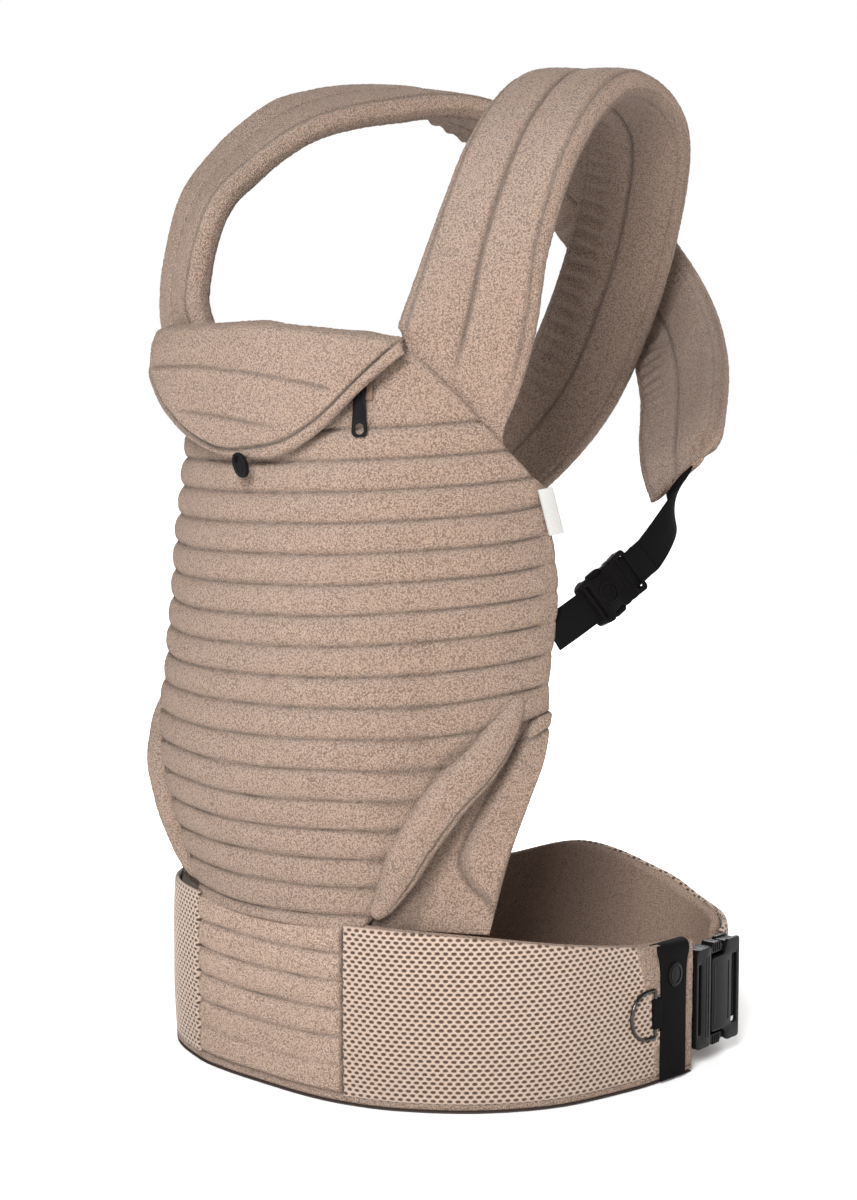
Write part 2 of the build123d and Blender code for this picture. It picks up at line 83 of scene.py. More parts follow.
# Seat edges
ROLL_PATH = [(39.5, 132), (43, 150), (48, 184), (55, 214), (64, 238), (71, 259), (78, 283)]
GUSSET_INNER = [(38, 122), (45, 160), (52, 195), (62, 228), (80, 270)]
GUSSET_OUTER = [(157, -84, 122), (159, -66, 170), (162, -50, 208), (164, -37, 240), (162, -30, 270)]

# Head flap: lower edge by angle, fold over the panel's top, half ellipse, and the height, slope
# and width of its quilt lines
FLAP_ANGLES = [-50, -40, -30, -20, -10, 0, 10, 20, 30, 41]
FLAP_LOWS = [506, 489, 468, 452, 444, 442, 445, 461, 487, 514]
FLAP_FOLD = [(26, 522), (22, 528), (13, 532), (5, 529), (1.5, 520), (0.5, 509)]
FLAP_WIDTH = 174.0
FLAP_DEPTH = 137.0
FLAP_CENTRE = -21.0
FLAP_QUILTS = ((505.0, 0.10, 1.3), (473.0, 0.16, 1.5))

# Straps: half width, half thickness and points round the section, and then centre, width direction
# and half width of every station
STRAP_HALF = 43.0
STRAP_THICK = 9.5
STRAP_POINTS = 124
STRAP_RIGHT = [((126, -87, 496), (0.60, 0.46, -0.66), 46), ((127, -70, 539), (0.85, 0.46, -0.24), 45),
               ((127, -50, 590), (0.92, 0.38, 0), 42), ((122, -8, 655), (0.94, 0.33, 0), 42),
               ((112, 52, 700), (0.96, 0.26, -0.05), 43), ((103, 112, 708), (0.95, 0.26, -0.1), 43),
               ((90, 168, 683), (0.88, 0.32, -0.2), 43), ((58, 205, 625), (0.84, 0.32, -0.38), 43),
               ((30, 210, 554), (0.8, 0.3, -0.45), 43), ((-4, 203, 485), (0.75, 0.32, -0.5), 42),
               ((-52, 180, 425), (0.6, 0.3, -0.62), 38), ((-100, 152, 394), (0.5, 0.2, -0.8), 28),
               ((-128, 134, 387), (0.3, 0.1, -0.9), 18)]
STRAP_LEFT = [((-124, -86, 493), (-0.60, 0.46, -0.66), 47), ((-146, -79, 550), (-0.85, 0.46, -0.1), 45),
              ((-147, -64, 612), (-0.88, 0.44, 0.1), 42), ((-145, -30, 655), (-0.9, 0.4, 0.2), 42),
              ((-128, 24, 697), (-0.91, 0.33, 0.27), 42), ((-104, 90, 714), (-0.91, 0.36, 0.27), 42),
              ((-78, 148, 713), (-0.9, 0.4, 0.1), 42), ((-34, 216, 674), (-0.86, 0.3, -0.28), 42),
              ((6, 266, 608), (-0.86, 0.1, -0.5), 42), ((48, 272, 550), (-0.86, 0.0, -0.5), 42),
              ((92, 234, 500), (-0.8, -0.2, -0.5), 40), ((127, 181, 456), (-0.7, -0.4, -0.55), 36),
              ((146, 148, 422), (-0.5, -0.5, -0.6), 26)]

# Webbing: outline of a band in half widths and half thicknesses, the widths of the shoulder and
# waist webbing, and the belt keeper's heights, setbacks and widths
BAND_SECTION = [(-1, 0.4), (-0.97, 1), (0, 1), (0.97, 1), (1, 0.4),
                (1, -0.4), (0.97, -1), (0, -1), (-0.97, -1), (-1, -0.4)]
SHOULDER_WEB = 25
WAIST_WEB = 50
KEEPER = ((3, 0, 27), (30, 0, 27), (70, 0, 27), (86, 0, 29), (93, 0, 33), (98.5, 1.6, 34), (99.5, 7, 34),
          (97, 13, 34))

# Buckles: origins and directions of the shoulder buckles and the waist buckle
SHOULDER_AT = (165, 14, 338)
SHOULDER_AXIS = (0.038, 0.891, 0.452)
SHOULDER_FACE = (0.893, -0.233, 0.384)
WAIST_AT = (210, 76, 52)

# Zipper: radius and centre of the tape, its height, the angles of its ends and of the slider
ZIPPER_REACH = 222.4
ZIPPER_CENTRE = 83.0
ZIPPER_Z = 488.0
ZIPPER_ENDS = (-24, 22.5)
ZIPPER_TURN = 20.5

# Spacer mesh: pitch of its staggered holes and their half sizes, along and across
HOLE_PITCH = (5.6, 6.2)
HOLE_HALF = (1.75, 1.05)

# Steps of the cloth and mesh grids, size of the boucle's loops, and distances of the first
# grid lines from an edge
CLOTH_STEP = 1.7
MESH_STEP = 1.0
LOOP_SIZE = 2.9
RIM = np.array((0.0, 0.2, 0.6, 1.3, 2.3, 3.6, 5.2))


# ---------------------------------------------------------------- numbers and noise

def to_frame(points):
    return (np.asarray(points, float) - ORIGIN) * MM


def unit(v):
    v = np.asarray(v, float)
    return v / np.maximum(np.linalg.norm(v, axis=-1, keepdims=True), 1e-12)


def smooth_value(xs, ys, x):
    """Smooth curve through the rows xs -> ys, evaluated at x."""
    xs = np.asarray(xs, float)
    ys = np.asarray(ys, float)
    slopes = np.gradient(ys, xs, axis=0)
    x = np.clip(x, xs[0], xs[-1])
    i = np.clip(np.searchsorted(xs, x, side="right") - 1, 0, len(xs) - 2)
    h = xs[i + 1] - xs[i]
    t = (x - xs[i]) / h
    if ys.ndim > 1:
        h = h[..., None]
        t = t[..., None]
    start = (1 + 2 * t) * (1 - t) ** 2 * ys[i] + t * (1 - t) ** 2 * h * slopes[i]
    end = t * t * (3 - 2 * t) * ys[i + 1] + t * t * (t - 1) * h * slopes[i + 1]
    return start + end


def ease(low, high, x):
    """Smooth step from 0 at low to 1 at high."""
    t = np.clip((x - low) / (high - low), 0, 1)
    return t * t * (3 - 2 * t)


def ridge(x, centre, width):
    """Bell curve of height 1 at centre."""
    return np.exp(-((x - centre) / width) ** 2)


def lengths(points, axis=0):
    """Running length along one axis of a row or grid of points."""
    steps = np.cumsum(np.linalg.norm(np.diff(points, axis=axis), axis=-1), axis=axis)
    return np.concatenate((np.zeros_like(np.take(steps, [0], axis=axis)), steps), axis=axis)


def turns(count):
    """Even angles once round a circle."""
    return np.linspace(0, 2 * np.pi, count, endpoint=False)


def spread(length, step):
    """Shares from 0 to 1 along length, step apart and finer at both ends."""
    count = max(int((length - 2 * RIM[-1]) / step), 2)
    middle = np.linspace(RIM[-1], length - RIM[-1], count + 1)[1:-1]
    return np.concatenate((RIM, middle, length - RIM[::-1])) / length


def lattice(i, seed):
    """Repeatable random number from 0 to 1 for each whole-number cell."""
    n = (i[..., 0] * 73856093) ^ (i[..., 1] * 19349663) ^ (i[..., 2] * 83492791) ^ (seed * 2654435)
    n = (n ^ (n >> 13)) * 1274126177
    n = n ^ (n >> 16)
    return (n & 0xFFFF) / 65535.0


def soft_noise(points, size, seed):
    """Smooth noise from -1 to 1 with lumps of size mm."""
    p = points / size
    i = np.floor(p).astype(np.int64)
    f = p - i
    f = f * f * (3 - 2 * f)
    total = 0
    for corner in np.ndindex(2, 2, 2):
        weight = np.prod(np.where(corner, f, 1 - f), axis=-1)
        total = total + lattice(i + np.array(corner), seed) * weight
    return total * 2 - 1


def nub_noise(points, size, seed):
    """Distance to the nearest of randomly jittered points, in cells of size mm."""
    p = points / size
    i = np.floor(p).astype(np.int64)
    best = np.full(p.shape[:-1], 9.0)
    for shift in np.ndindex(3, 3, 3):
        cell = i + np.array(shift) - 1
        seat = np.stack([cell[..., k] + lattice(cell, seed + k) for k in range(3)], axis=-1)
        best = np.minimum(best, np.linalg.norm(p - seat, axis=-1))
    return best


# ---------------------------------------------------------------- meshes

def link(name, data):
    """New object of the scene with this data."""
    obj = bpy.data.objects.new(name, data)
    bpy.context.scene.collection.objects.link(obj)
    return obj


def build_mesh(name, points, faces, weave=None, painted_shade=None):
    """Object from drawing points and faces, with its weave coordinates and an amount of painted shade at
    each point.
    """
    points = np.asarray(points, float)
    corners = np.array([face[:3] for face in faces])
    a, b, c = (points[corners[:, k]] - points.mean(axis=0) for k in range(3))
    if (a * np.cross(b, c)).sum() < 0:
        faces = [face[::-1] for face in faces]
    mesh = bpy.data.meshes.new(name)
    mesh.from_pydata(to_frame(points).tolist(), [], faces)
    mesh.polygons.foreach_set("use_smooth", [True] * len(mesh.polygons))
    if weave is not None:
        layer = mesh.attributes.new("weave", "FLOAT_VECTOR", "POINT")
        layer.data.foreach_set("vector", np.ascontiguousarray(weave, np.float32).ravel())
    # Painted shade: amount of darkening at each point where shade falls, read by the boucle materials
    layer = mesh.attributes.new("painted_shade", "FLOAT", "POINT")
    values = np.zeros(len(points)) if painted_shade is None else painted_shade
    layer.data.foreach_set("value", np.ascontiguousarray(values, np.float32).ravel())
    return link(name, mesh)


def border_distance(grid):
    """Distance of each grid point from the nearest border, and its running lengths both ways."""
    along_rows = lengths(grid, 0)
    along_cols = lengths(grid, 1)
    rows = np.minimum(along_rows, along_rows[-1:] - along_rows)
    cols = np.minimum(along_cols, along_cols[:, -1:] - along_cols)
    return np.minimum(rows, cols), along_rows, along_cols


def grid_normals(grid):
    return unit(np.cross(np.gradient(grid, axis=0), np.gradient(grid, axis=1)))


def loops(points):
    """Height of the boucle's loops at each point."""
    return 0.55 - nub_noise(points, LOOP_SIZE, 5) + 0.5 * soft_noise(points, 1.9, 8)


def pad(name, middle, front, back, radius, painted_shade=None, flip=False, nap=0.0):
    """Closed pad round a middle surface: front and back are its thickness each side in mm.

    radius rounds the edge, the painted shade amount darkens seams, hollows and shaded faces where shade
    falls, and nap is the height of the cloth's loops.
    """
    distance, along_rows, along_cols = border_distance(middle)
    share = np.clip(distance / radius, 0, 1)
    swell = np.sqrt(1 - (1 - share) ** 2)
    normal = grid_normals(middle) * (-1 if flip else 1)
    outer = middle + normal * (front * swell)[..., None]
    inner = middle - normal * (back * swell)[..., None]
    if nap:
        outer = outer + normal * (nap * swell * loops(outer))[..., None]
        lump = 0.55 - nub_noise(inner, LOOP_SIZE, 6)
        inner = inner - normal * (nap * swell * lump)[..., None]
    rows, cols = middle.shape[:2]
    first = np.arange(rows * cols).reshape(rows, cols)
    second = first + rows * cols
    second[0], second[-1] = first[0], first[-1]
    second[:, 0], second[:, -1] = first[:, 0], first[:, -1]
    faces = []
    for ids, reverse in ((first, flip), (second, not flip)):
        quads = np.stack((ids[:-1, :-1], ids[1:, :-1], ids[1:, 1:], ids[:-1, 1:]), axis=-1).reshape(-1, 4)
        faces.append(quads[:, ::-1] if reverse else quads)
    faces = np.concatenate(faces)
    used, faces = np.unique(faces, return_inverse=True)
    faces = faces.reshape(-1, 4)
    points = np.concatenate((outer.reshape(-1, 3), inner.reshape(-1, 3)))[used]
    weave = np.stack((along_rows, along_cols, np.zeros_like(along_rows)), axis=-1).reshape(-1, 3)
    weave = np.concatenate((weave, weave))[used]
    # Painted shade at each point; the back face gets 0.3 of it
    dark = np.zeros((rows, cols)) if painted_shade is None else painted_shade
    dark = np.concatenate((dark.reshape(-1), dark.reshape(-1) * 0.3))[used]
    return build_mesh(name, points, faces.tolist(), weave, dark)


def ring_faces(ids):
    """Quads between neighbouring rings of point numbers."""
    right = np.roll(ids, -1, axis=1)
    return np.stack((ids[:-1], right[:-1], right[1:], ids[1:]), axis=-1).reshape(-1, 4).tolist()


def tube(name, rings, painted_shade=None, nap=0.0, weave=None):
    """Closed tube through rings of points; each end is closed by joining opposite points."""
    rows, count = rings.shape[:2]
    points = rings.reshape(-1, 3).copy()
    ids = np.arange(rows * count).reshape(rows, count)
    faces = ring_faces(ids)
    for ring, turn in ((ids[0], -1), (ids[-1], 1)):
        for k in range(count // 2 - 1):
            quad = [ring[k], ring[k + 1], ring[count - 2 - k], ring[count - 1 - k]]
            faces.append([int(v) for v in quad[::turn]])
    if nap:
        closed = np.concatenate((rings[:, -1:], rings, rings[:, :1]), axis=1)
        normal = grid_normals(closed)[:, 1:-1]
        middle = rings.mean(axis=1, keepdims=True)
        sign = np.sign((normal * (rings - middle)).sum(axis=-1).mean())
        normal = (normal * sign).reshape(-1, 3)
        points = points + normal * (nap * loops(points))[:, None]
    # Painted shade at each point, if any
    dark = None if painted_shade is None else painted_shade.reshape(-1)
    coords = None if weave is None else weave.reshape(-1, 3)
    return build_mesh(name, points, faces, coords, dark)


def resample(points, step, places=3):
    """Curve at about step mm through rows whose first places columns are its position."""
    points = np.asarray(points, float)
    knots = np.arange(len(points))
    dense = smooth_value(knots, points, np.linspace(0, len(points) - 1, len(points) * 60))
    length = lengths(dense[:, :places])
    count = max(int(length[-1] / step), 4)
    at = np.linspace(0, length[-1], count + 1)
    return np.stack([np.interp(at, length, column) for column in dense.T], axis=1), at


# ---------------------------------------------------------------- materials

class Shader:
    """Adds and links the nodes of a material or world; an input is a number, a tuple or a socket."""

    def __init__(self, owner, main="Principled BSDF"):
        self.owner = owner
        owner.use_nodes = True
        self.nodes = owner.node_tree.nodes
        self.links = owner.node_tree.links
        self.surface = self.nodes[main].inputs

    def put(self, source, target):
        if isinstance(source, bpy.types.NodeSocket):
            self.links.new(source, target)
        elif target.type == "RGBA":
            target.default_value = (*source, 1.0)
        else:
            target.default_value = source

    def node(self, kind, inputs, **settings):
        """Outputs of a new node with these inputs, named or numbered, and these settings."""
        node = self.nodes.new("ShaderNode" + kind)
        for key, value in settings.items():
            setattr(node, key, value)
        for key, value in inputs.items():
            self.put(value, node.inputs[key])
        return node.outputs

    def math(self, operation, a, b=0.0, c=0.0):
        return self.node("Math", {0: a, 1: b, 2: c}, operation=operation)[0]

    def position(self):
        return self.node("TexCoord", {})["Object"]

    def weave(self):
        """Lengths along and across the cloth in mm."""
        where = self.node("Attribute", {}, attribute_name="weave")["Vector"]
        return self.node("SeparateXYZ", {0: where})[:2]

    def noise(self, vector, scale, detail=2.0):
        settings = {"Vector": vector, "Scale": scale, "Detail": detail, "Roughness": 0.55}
        return self.node("TexNoise", settings)["Fac"]

    def cells(self, vector, scale):
        return self.node("TexVoronoi", {"Vector": vector, "Scale": scale})["Distance"]

    def range(self, value, low, high, to_low=0.0, to_high=1.0):
        ends = {"From Min": low, "From Max": high, "To Min": to_low, "To Max": to_high}
        return self.node("MapRange", {"Value": value, **ends})["Result"]

    def ramp(self, value, stops):
        node = self.nodes.new("ShaderNodeValToRGB")
        elements = node.color_ramp.elements
        while len(elements) < len(stops):
            elements.new(0.5)
        for element, (place, colour) in zip(elements, stops):
            element.position = place
            element.color = (*colour, 1.0)
        self.links.new(value, node.inputs["Fac"])
        return node.outputs["Color"]

    def mix(self, factor, a, b):
        return self.node("Mix", {0: factor, 6: a, 7: b}, data_type="RGBA")[2]

    def shifted(self, vector, amount, scale):
        """Position moved about by coarse noise, so that a pattern isn't regular."""
        wobble = self.node("TexNoise", {"Vector": vector, "Scale": scale, "Detail": 1.0})["Color"]
        moved = {0: wobble, 1: (amount, amount, amount), 2: vector}
        return self.node("VectorMath", moved, operation="MULTIPLY_ADD")[0]

    def bump(self, height, strength, distance):
        inputs = {"Height": height, "Strength": strength, "Distance": distance}
        self.put(self.node("Bump", inputs)["Normal"], self.surface["Normal"])

    def finish(self, colour, roughness, specular=0.2, sheen=0.0, metallic=0.0):
        values = {"Base Color": colour, "Roughness": roughness, "Specular IOR Level": specular,
                  "Sheen Weight": sheen, "Sheen Roughness": 0.5, "Metallic": metallic}
        for key, value in values.items():
            self.put(value, self.surface[key])
        return self.owner


def scaled(colour, factor):
    return tuple(factor * c for c in colour)


def boucle_material(name, dark, middle, light, scale=880.0, height=0.0022):
    """Looped pile: curled lumps of yarn, with painted shade in the small gaps between them and painted light
    on their tops.
    """
    shader = Shader(bpy.data.materials.new(name))
    where = shader.position()
    curl = shader.shifted(where, 0.0011, 620.0)
    pile = shader.math("MULTIPLY_ADD", shader.cells(curl, scale), -0.95, 1.0)
    pile = shader.math("MULTIPLY_ADD", shader.cells(curl, scale * 2.3), -0.42, pile)
    pile = shader.math("MULTIPLY_ADD", shader.noise(where, 3200.0), 0.22, pile)
    # The loops' height picks the colour: painted shade in the low gaps, painted light on the high tops
    tone = shader.ramp(shader.range(pile, 0.22, 0.86), ((0.0, dark), (0.36, middle), (1.0, light)))
    patch = shader.noise(where, 38.0, 3.0)
    tone = shader.mix(shader.range(patch, 0.35, 0.65, 0.0, 0.18), tone, middle)
    # Painted shade: darken towards a deep brown wherever the mesh's painted shade amount says that shade
    # falls
    painted_shade = shader.node("Attribute", {}, attribute_name="painted_shade")["Fac"]
    tone = shader.mix(shader.math("MULTIPLY", painted_shade, 0.85), tone, scaled(dark, 0.42))
    shader.bump(pile, 1.0, height)
    return shader.finish(tone, 0.95, 0.10, 0.15)


def mesh_material(name, thread, hole_shade):
    """Spacer mesh: smooth threads round staggered oval holes, in step with the mesh's own pits; the holes
    get a near-black colour that is painted shade down in them.
    """
    shader = Shader(bpy.data.materials.new(name))
    u, v = shader.weave()
    nearest = None
    for shift in (0.0, 0.5):
        distances = []
        for value, pitch, half in ((u, HOLE_PITCH[0], HOLE_HALF[0]), (v, HOLE_PITCH[1], HOLE_HALF[1])):
            share = shader.math("FRACT", shader.math("MULTIPLY_ADD", value, 1 / pitch, shift))
            away = shader.math("MULTIPLY_ADD", share, pitch / half, -0.5 * pitch / half)
            distances.append(shader.math("MULTIPLY", away, away))
        both = shader.math("ADD", *distances)
        nearest = both if nearest is None else shader.math("MINIMUM", nearest, both)
    hole = shader.range(nearest, 1.5, 0.6)
    where = shader.position()
    rib = shader.math("SINE", shader.math("MULTIPLY", v, 7.5))
    rib = shader.math("MULTIPLY_ADD", rib, 0.12, 0.5)
    grain = shader.math("ADD", shader.math("MULTIPLY", shader.noise(where, 2200.0), 0.5), rib)
    tone = shader.ramp(shader.range(grain, 0.4, 1.0), ((0.0, scaled(thread, 0.72)), (1.0, thread)))
    patch = shader.noise(where, 30.0)
    tone = shader.mix(shader.range(patch, 0.3, 0.7, 0.0, 0.2), tone, scaled(thread, 0.86))
    height = shader.math("SUBTRACT", shader.math("MULTIPLY", grain, 0.25), hole)
    shader.bump(height, 0.8, 0.0009)
    # The holes take the painted shade colour
    return shader.finish(shader.mix(hole, tone, hole_shade), 0.72, 0.3, 0.15)


def web_material(name, tone):
    """Woven webbing: narrow ribs across the band."""
    shader = Shader(bpy.data.materials.new(name))
    along, across = shader.weave()
    ribs = shader.math("SINE", shader.math("MULTIPLY", along, 5.2))
    rows = shader.math("SINE", shader.math("MULTIPLY", across, 4.0))
    weave = shader.math("MULTIPLY", ribs, rows)
    fibre = shader.noise(shader.position(), 3000.0)
    height = shader.math("ADD", shader.math("MULTIPLY", weave, 0.5), fibre)
    shade = shader.ramp(shader.range(height, 0.0, 1.2), ((0.0, scaled(tone, 0.5)), (1.0, scaled(tone, 1.5))))
    shader.bump(height, 0.5, 0.0004)
    return shader.finish(shade, 0.75, 0.05)


def plastic_material(name, tone, roughness):
    """Moulded black plastic with a fine grain."""
    shader = Shader(bpy.data.materials.new(name))
    where = shader.position()
    grain = shader.noise(where, 1400.0)
    shade = shader.mix(shader.range(shader.noise(where, 60.0), 0.3, 0.7), tone, scaled(tone, 1.35))
    shader.bump(grain, 0.12, 0.0002)
    return shader.finish(shade, shader.range(grain, 0.2, 0.8, roughness - 0.06, roughness + 0.1), 0.09)


def steel_material(name):
    """Dark plated wire with light scuffs."""
    shader = Shader(bpy.data.materials.new(name))
    scuff = shader.noise(shader.position(), 420.0, 3.0)
    shader.bump(scuff, 0.05, 0.0002)
    return shader.finish((0.055, 0.052, 0.050), shader.range(scuff, 0.3, 0.7, 0.16, 0.34), 0.5, metallic=1.0)


BOUCLE = boucle_material("boucle", (0.158, 0.099, 0.068), (0.335, 0.227, 0.167), (0.490, 0.359, 0.278))
# Painted light: the same boucle about 1.3 times lighter, so that the belt's front looks more brightly lit
LIT_BELT_BOUCLE = boucle_material("belt_boucle_painted_light", (0.200, 0.127, 0.088), (0.435, 0.298, 0.222),
                              (0.635, 0.472, 0.368))
LINING = boucle_material("lining_knit", (0.170, 0.104, 0.072), (0.310, 0.204, 0.147), (0.440, 0.314, 0.239),
                         1000.0, 0.0016)
# The second colour is the painted shade inside the mesh's holes
SPACER = mesh_material("spacer_mesh", (0.380, 0.282, 0.220), (0.050, 0.028, 0.018))
WEB = web_material("webbing_black", (0.0040, 0.0036, 0.0040))
PLASTIC = plastic_material("black_plastic", (0.0035, 0.0031, 0.0034), 0.23)
SATIN = plastic_material("black_lacquer", (0.0045, 0.0040, 0.0044), 0.20)
STEEL = steel_material("plated_steel")
# Dark underside of the hems, partly real and partly painted contact shadow
SOLE_AND_SHADOW = web_material("dark_binding_and_contact_shadow", (0.045, 0.033, 0.030))
TAG = web_material("white_ribbon", (0.40, 0.39, 0.375))
TAPE = web_material("zipper_tape", (0.16, 0.105, 0.075))


def declare(obj, material, body, nodes, bend=None):
    """Material, body and replaced nodes of one piece: it gets the material, is attached to the body's empty
    and hides the replaced nodes.

    bend holds a body and the points where a bend would start and end; when it is given, the piece is
    attached to no body, only its transform is baked in, and no bend is made.
    """
    obj.data.materials.append(material)
    if bend is None:
        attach(obj, body)
    else:
        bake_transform(obj)
    if nodes:
        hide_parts(*nodes)
    return obj


# ---------------------------------------------------------------- front panel

def panel_point(angle, z, depth):
    """Point of the panel, depth mm behind its face; the ellipse's centre moves back with height."""
    a = smooth_value(PANEL_LEVELS, PANEL_WIDTHS, z) - depth
    b = smooth_value(PANEL_LEVELS, PANEL_DEPTHS, z) - depth
    centre = -40.0 + (z - 130.0) * 20.0 / 390.0
    return np.stack((a * np.sin(np.radians(angle)), centre - b * np.cos(np.radians(angle)), z), axis=-1)


def channel_swell(t, power=2.6):
    """Height from 0 to 1 across one quilted channel, where t runs from 0 to 1."""
    return (1 - np.abs(2 * t - 1) ** power) ** 0.62


def make_panel():
    angles = -90 + 180 * spread(410, CLOTH_STEP)
    shares = spread(390, CLOTH_STEP * 0.8)
    angle, share = np.meshgrid(angles, shares, indexing="ij")
    low = smooth_value(EDGE_ANGLES, EDGE_LOWS, np.abs(angle))
    high = smooth_value(TOP_ANGLES, TOP_HIGHS, np.abs(angle))
    z = low + (high - low) * share
    angle = angle * (1 + 0.068 * ridge(z, 350, 48) * ease(45, 88, np.abs(angle)))
    s = angle / 90.0
    smile = 9 * s ** 2 + 5 * s
    drift = 1.1 * soft_noise(np.stack((angle * 2.2, z, z * 0), axis=-1), 55, 3)
    level = (z - smile - FIRST_CHANNEL + drift) / CHANNEL
    level = np.minimum(level, LAST_CHANNEL + 0.5)
    swell = channel_swell(level - np.floor(level))
    fade = ease(90, 84, np.abs(angle))
    swell = 0.72 + (swell - 0.72) * (0.35 + 0.65 * fade)
    lumps = soft_noise(np.stack((angle * 2.3, z, z * 0), axis=-1), 24, 4)
    front = 2.4 + 5.2 * swell + 0.5 * lumps
    back = 5.6 + 0.6 * lumps
    # Painted shade in the quilt channels' stitched valleys and in the groove along the leg roll
    painted_shade = np.clip(1 - swell * 1.7, 0, 1)
    beside_roll = ease(36, 42, np.abs(angle)) * ease(82, 72, np.abs(angle))
    painted_shade = np.maximum(painted_shade, 0.6 * ridge(z - low, 17, 4.5) * beside_roll)
    middle = panel_point(angle, z, 6.8)
    obj = pad("panel_quilted", middle, front, back, 6.5, painted_shade, nap=0.55)
    declare(obj, BOUCLE, ROOT, ("panel_shell", "panel_padding", "panel_lining"))


# ---------------------------------------------------------------- seat edges

def make_leg_roll(side, name):
    angles, heights = np.array(ROLL_PATH, float).T
    route = panel_point(angles, heights, 1.0) * np.array((side, 1, 1))
    rows, at = resample(route, 1.6)
    along = unit(np.gradient(rows, axis=0))
    out = unit(rows * np.array((1, 1, 0)) - np.array((0, -40, 0)))
    across = unit(np.cross(along, out)) * side
    out = unit(np.cross(across, along)) * side
    turn = turns(84)
    share = at / at[-1]
    body = (4 * share * (1 - share)) ** 0.62
    reach = 2.5 + 13.0 * body
    height = 2.0 + 11.5 * body
    place = np.degrees(turn)
    seam = ridge(place, 55, 5) + ridge(place, 305, 5)
    shape = 1 - 0.13 * seam
    ring = (across[:, None] * (reach[:, None] * np.cos(turn) * shape)[..., None]
            + out[:, None] * (height[:, None] * np.sin(turn) * shape)[..., None])
    rings = rows[:, None] + ring
    rings = rings + ring * (0.05 * soft_noise(rings, 18, 12))[..., None]
    # Painted shade in the roll's seam grooves, faded out at both ends
    dark = seam[None, :] * 0.8 * ease(0, 0.12, share)[:, None] * ease(1, 0.88, share)[:, None]
    obj = tube("leg_roll_" + name, rings, dark, nap=0.5)
    declare(obj, BOUCLE, ROOT, ("leg_roll_" + name,))


def make_gusset(side, name):
    angles, heights = np.array(GUSSET_INNER, float).T
    left = panel_point(angles, heights, 6.0)
    right = np.array(GUSSET_OUTER, float)
    knots = np.linspace(0, 1, len(left))
    vs = spread(160, CLOTH_STEP)
    us = spread(75, CLOTH_STEP)
    left = smooth_value(knots, left, vs)
    right = smooth_value(knots, right, vs)
    middle = left[:, None] * (1 - us)[None, :, None] + right[:, None] * us[None, :, None]
    middle = middle + np.array((-0.85, 0.52, 0)) * 4
    tongue_edge = 0.50 + 0.5 * (1 - np.clip((vs - 0.09) / 0.28, 0, 1)) ** 2.2
    inside = us[None, :] - tongue_edge[:, None]
    tongue = ease(0, 0.09, inside) * ease(0.06, 0.12, vs)[:, None]
    front = 1.0 + 9.5 * tongue
    cap = ridge(vs[:, None], 0.84 + 0.07 * us[None, :], 0.014) * ease(0.45, 0.6, us)[None, :]
    # Painted shade along the tongue's edge and in the cap's fold, and over the inner third of the gusset
    # beside the leg roll
    painted_shade = np.maximum(ridge(inside, -0.01, 0.03) * ease(0.03, 0.1, vs)[:, None], cap)
    painted_shade = np.maximum(painted_shade, 0.7 * ease(0.47, 0.33, us)[None, :] * np.ones_like(painted_shade))
    front = front + 0.5 * soft_noise(middle, 22, 21) - 2.2 * cap
    middle = middle * np.array((side, 1, 1))
    obj = pad("seat_gusset_" + name, middle, front, 3.5, 4.5, painted_shade * 0.8, flip=side > 0, nap=0.5)
    declare(obj, BOUCLE, ROOT, ("seat_gusset_" + name,))


# ---------------------------------------------------------------- head flap

def make_flap():
    angles = FLAP_ANGLES[0] + (FLAP_ANGLES[-1] - FLAP_ANGLES[0]) * spread(250, CLOTH_STEP)
    lows = smooth_value(FLAP_ANGLES, FLAP_LOWS, angles)
    drops = 12.0 * np.clip((angles - 2.0) / 39.0, 0, 1)
    shares = spread(135, CLOTH_STEP * 0.9)
    columns = []
    for low, drop in zip(lows, drops):
        fold = np.array([(depth, z - drop) for depth, z in FLAP_FOLD if z > 528 or z - drop > low + 4])
        run = np.concatenate((fold, [(0.0, low)]))
        length = lengths(run)
        at = shares * length[-1]
        columns.append(np.stack([np.interp(at, length, values) for values in run.T], axis=1))
    profile = np.array(columns)
    inset = profile[..., 0] + 4.5 - 13 * ease(-8, -46, angles)[:, None]
    z = profile[..., 1]
    turn = np.radians(angles)[:, None]
    middle = np.stack(((FLAP_WIDTH - inset) * np.sin(turn),
                       FLAP_CENTRE - (FLAP_DEPTH - inset) * np.cos(turn), z), axis=-1)
    along_rows, along_cols = border_distance(middle)[1:]
    to_edge = along_cols[:, -1:] - along_cols
    hang = ease(512, 500, z)
    band = 4.5 + 5.0 * ease(-12, 10, angles)[:, None]
    dip = ridge(to_edge, band, 1.1) * ease(8, 24, along_cols)
    quilt = np.zeros_like(z)
    for height, slope, width in FLAP_QUILTS:
        line = height - slope * (angles[:, None] + 20) - 0.006 * (angles[:, None] + 20) ** 2
        on_face = ease(6, 16, to_edge - band) * ease(2, 10, along_rows) * (along_cols > 12)
        quilt = np.maximum(quilt, ridge(z, line, width) * on_face)
    crown = 1.6 * ease(band, band + 14, to_edge) + 1.4 * ridge(to_edge, band * 0.5, band * 0.4)
    front = 4.0 + crown * hang + 0.6 * soft_noise(middle, 26, 31) - 3.6 * dip - 1.7 * quilt
    # Painted shade in the piping groove and along the quilt lines
    dip = np.maximum(dip, 0.65 * quilt)
    obj = pad("head_flap_pad", middle, front, 3.6, 3.6, dip, flip=True, nap=0.5)
    declare(obj, BOUCLE, ROOT, ("head_flap", "flap_piping"),
            ("head_flap", (0, -150, 523), (0, -150, 503)))


# ---------------------------------------------------------------- shoulder straps

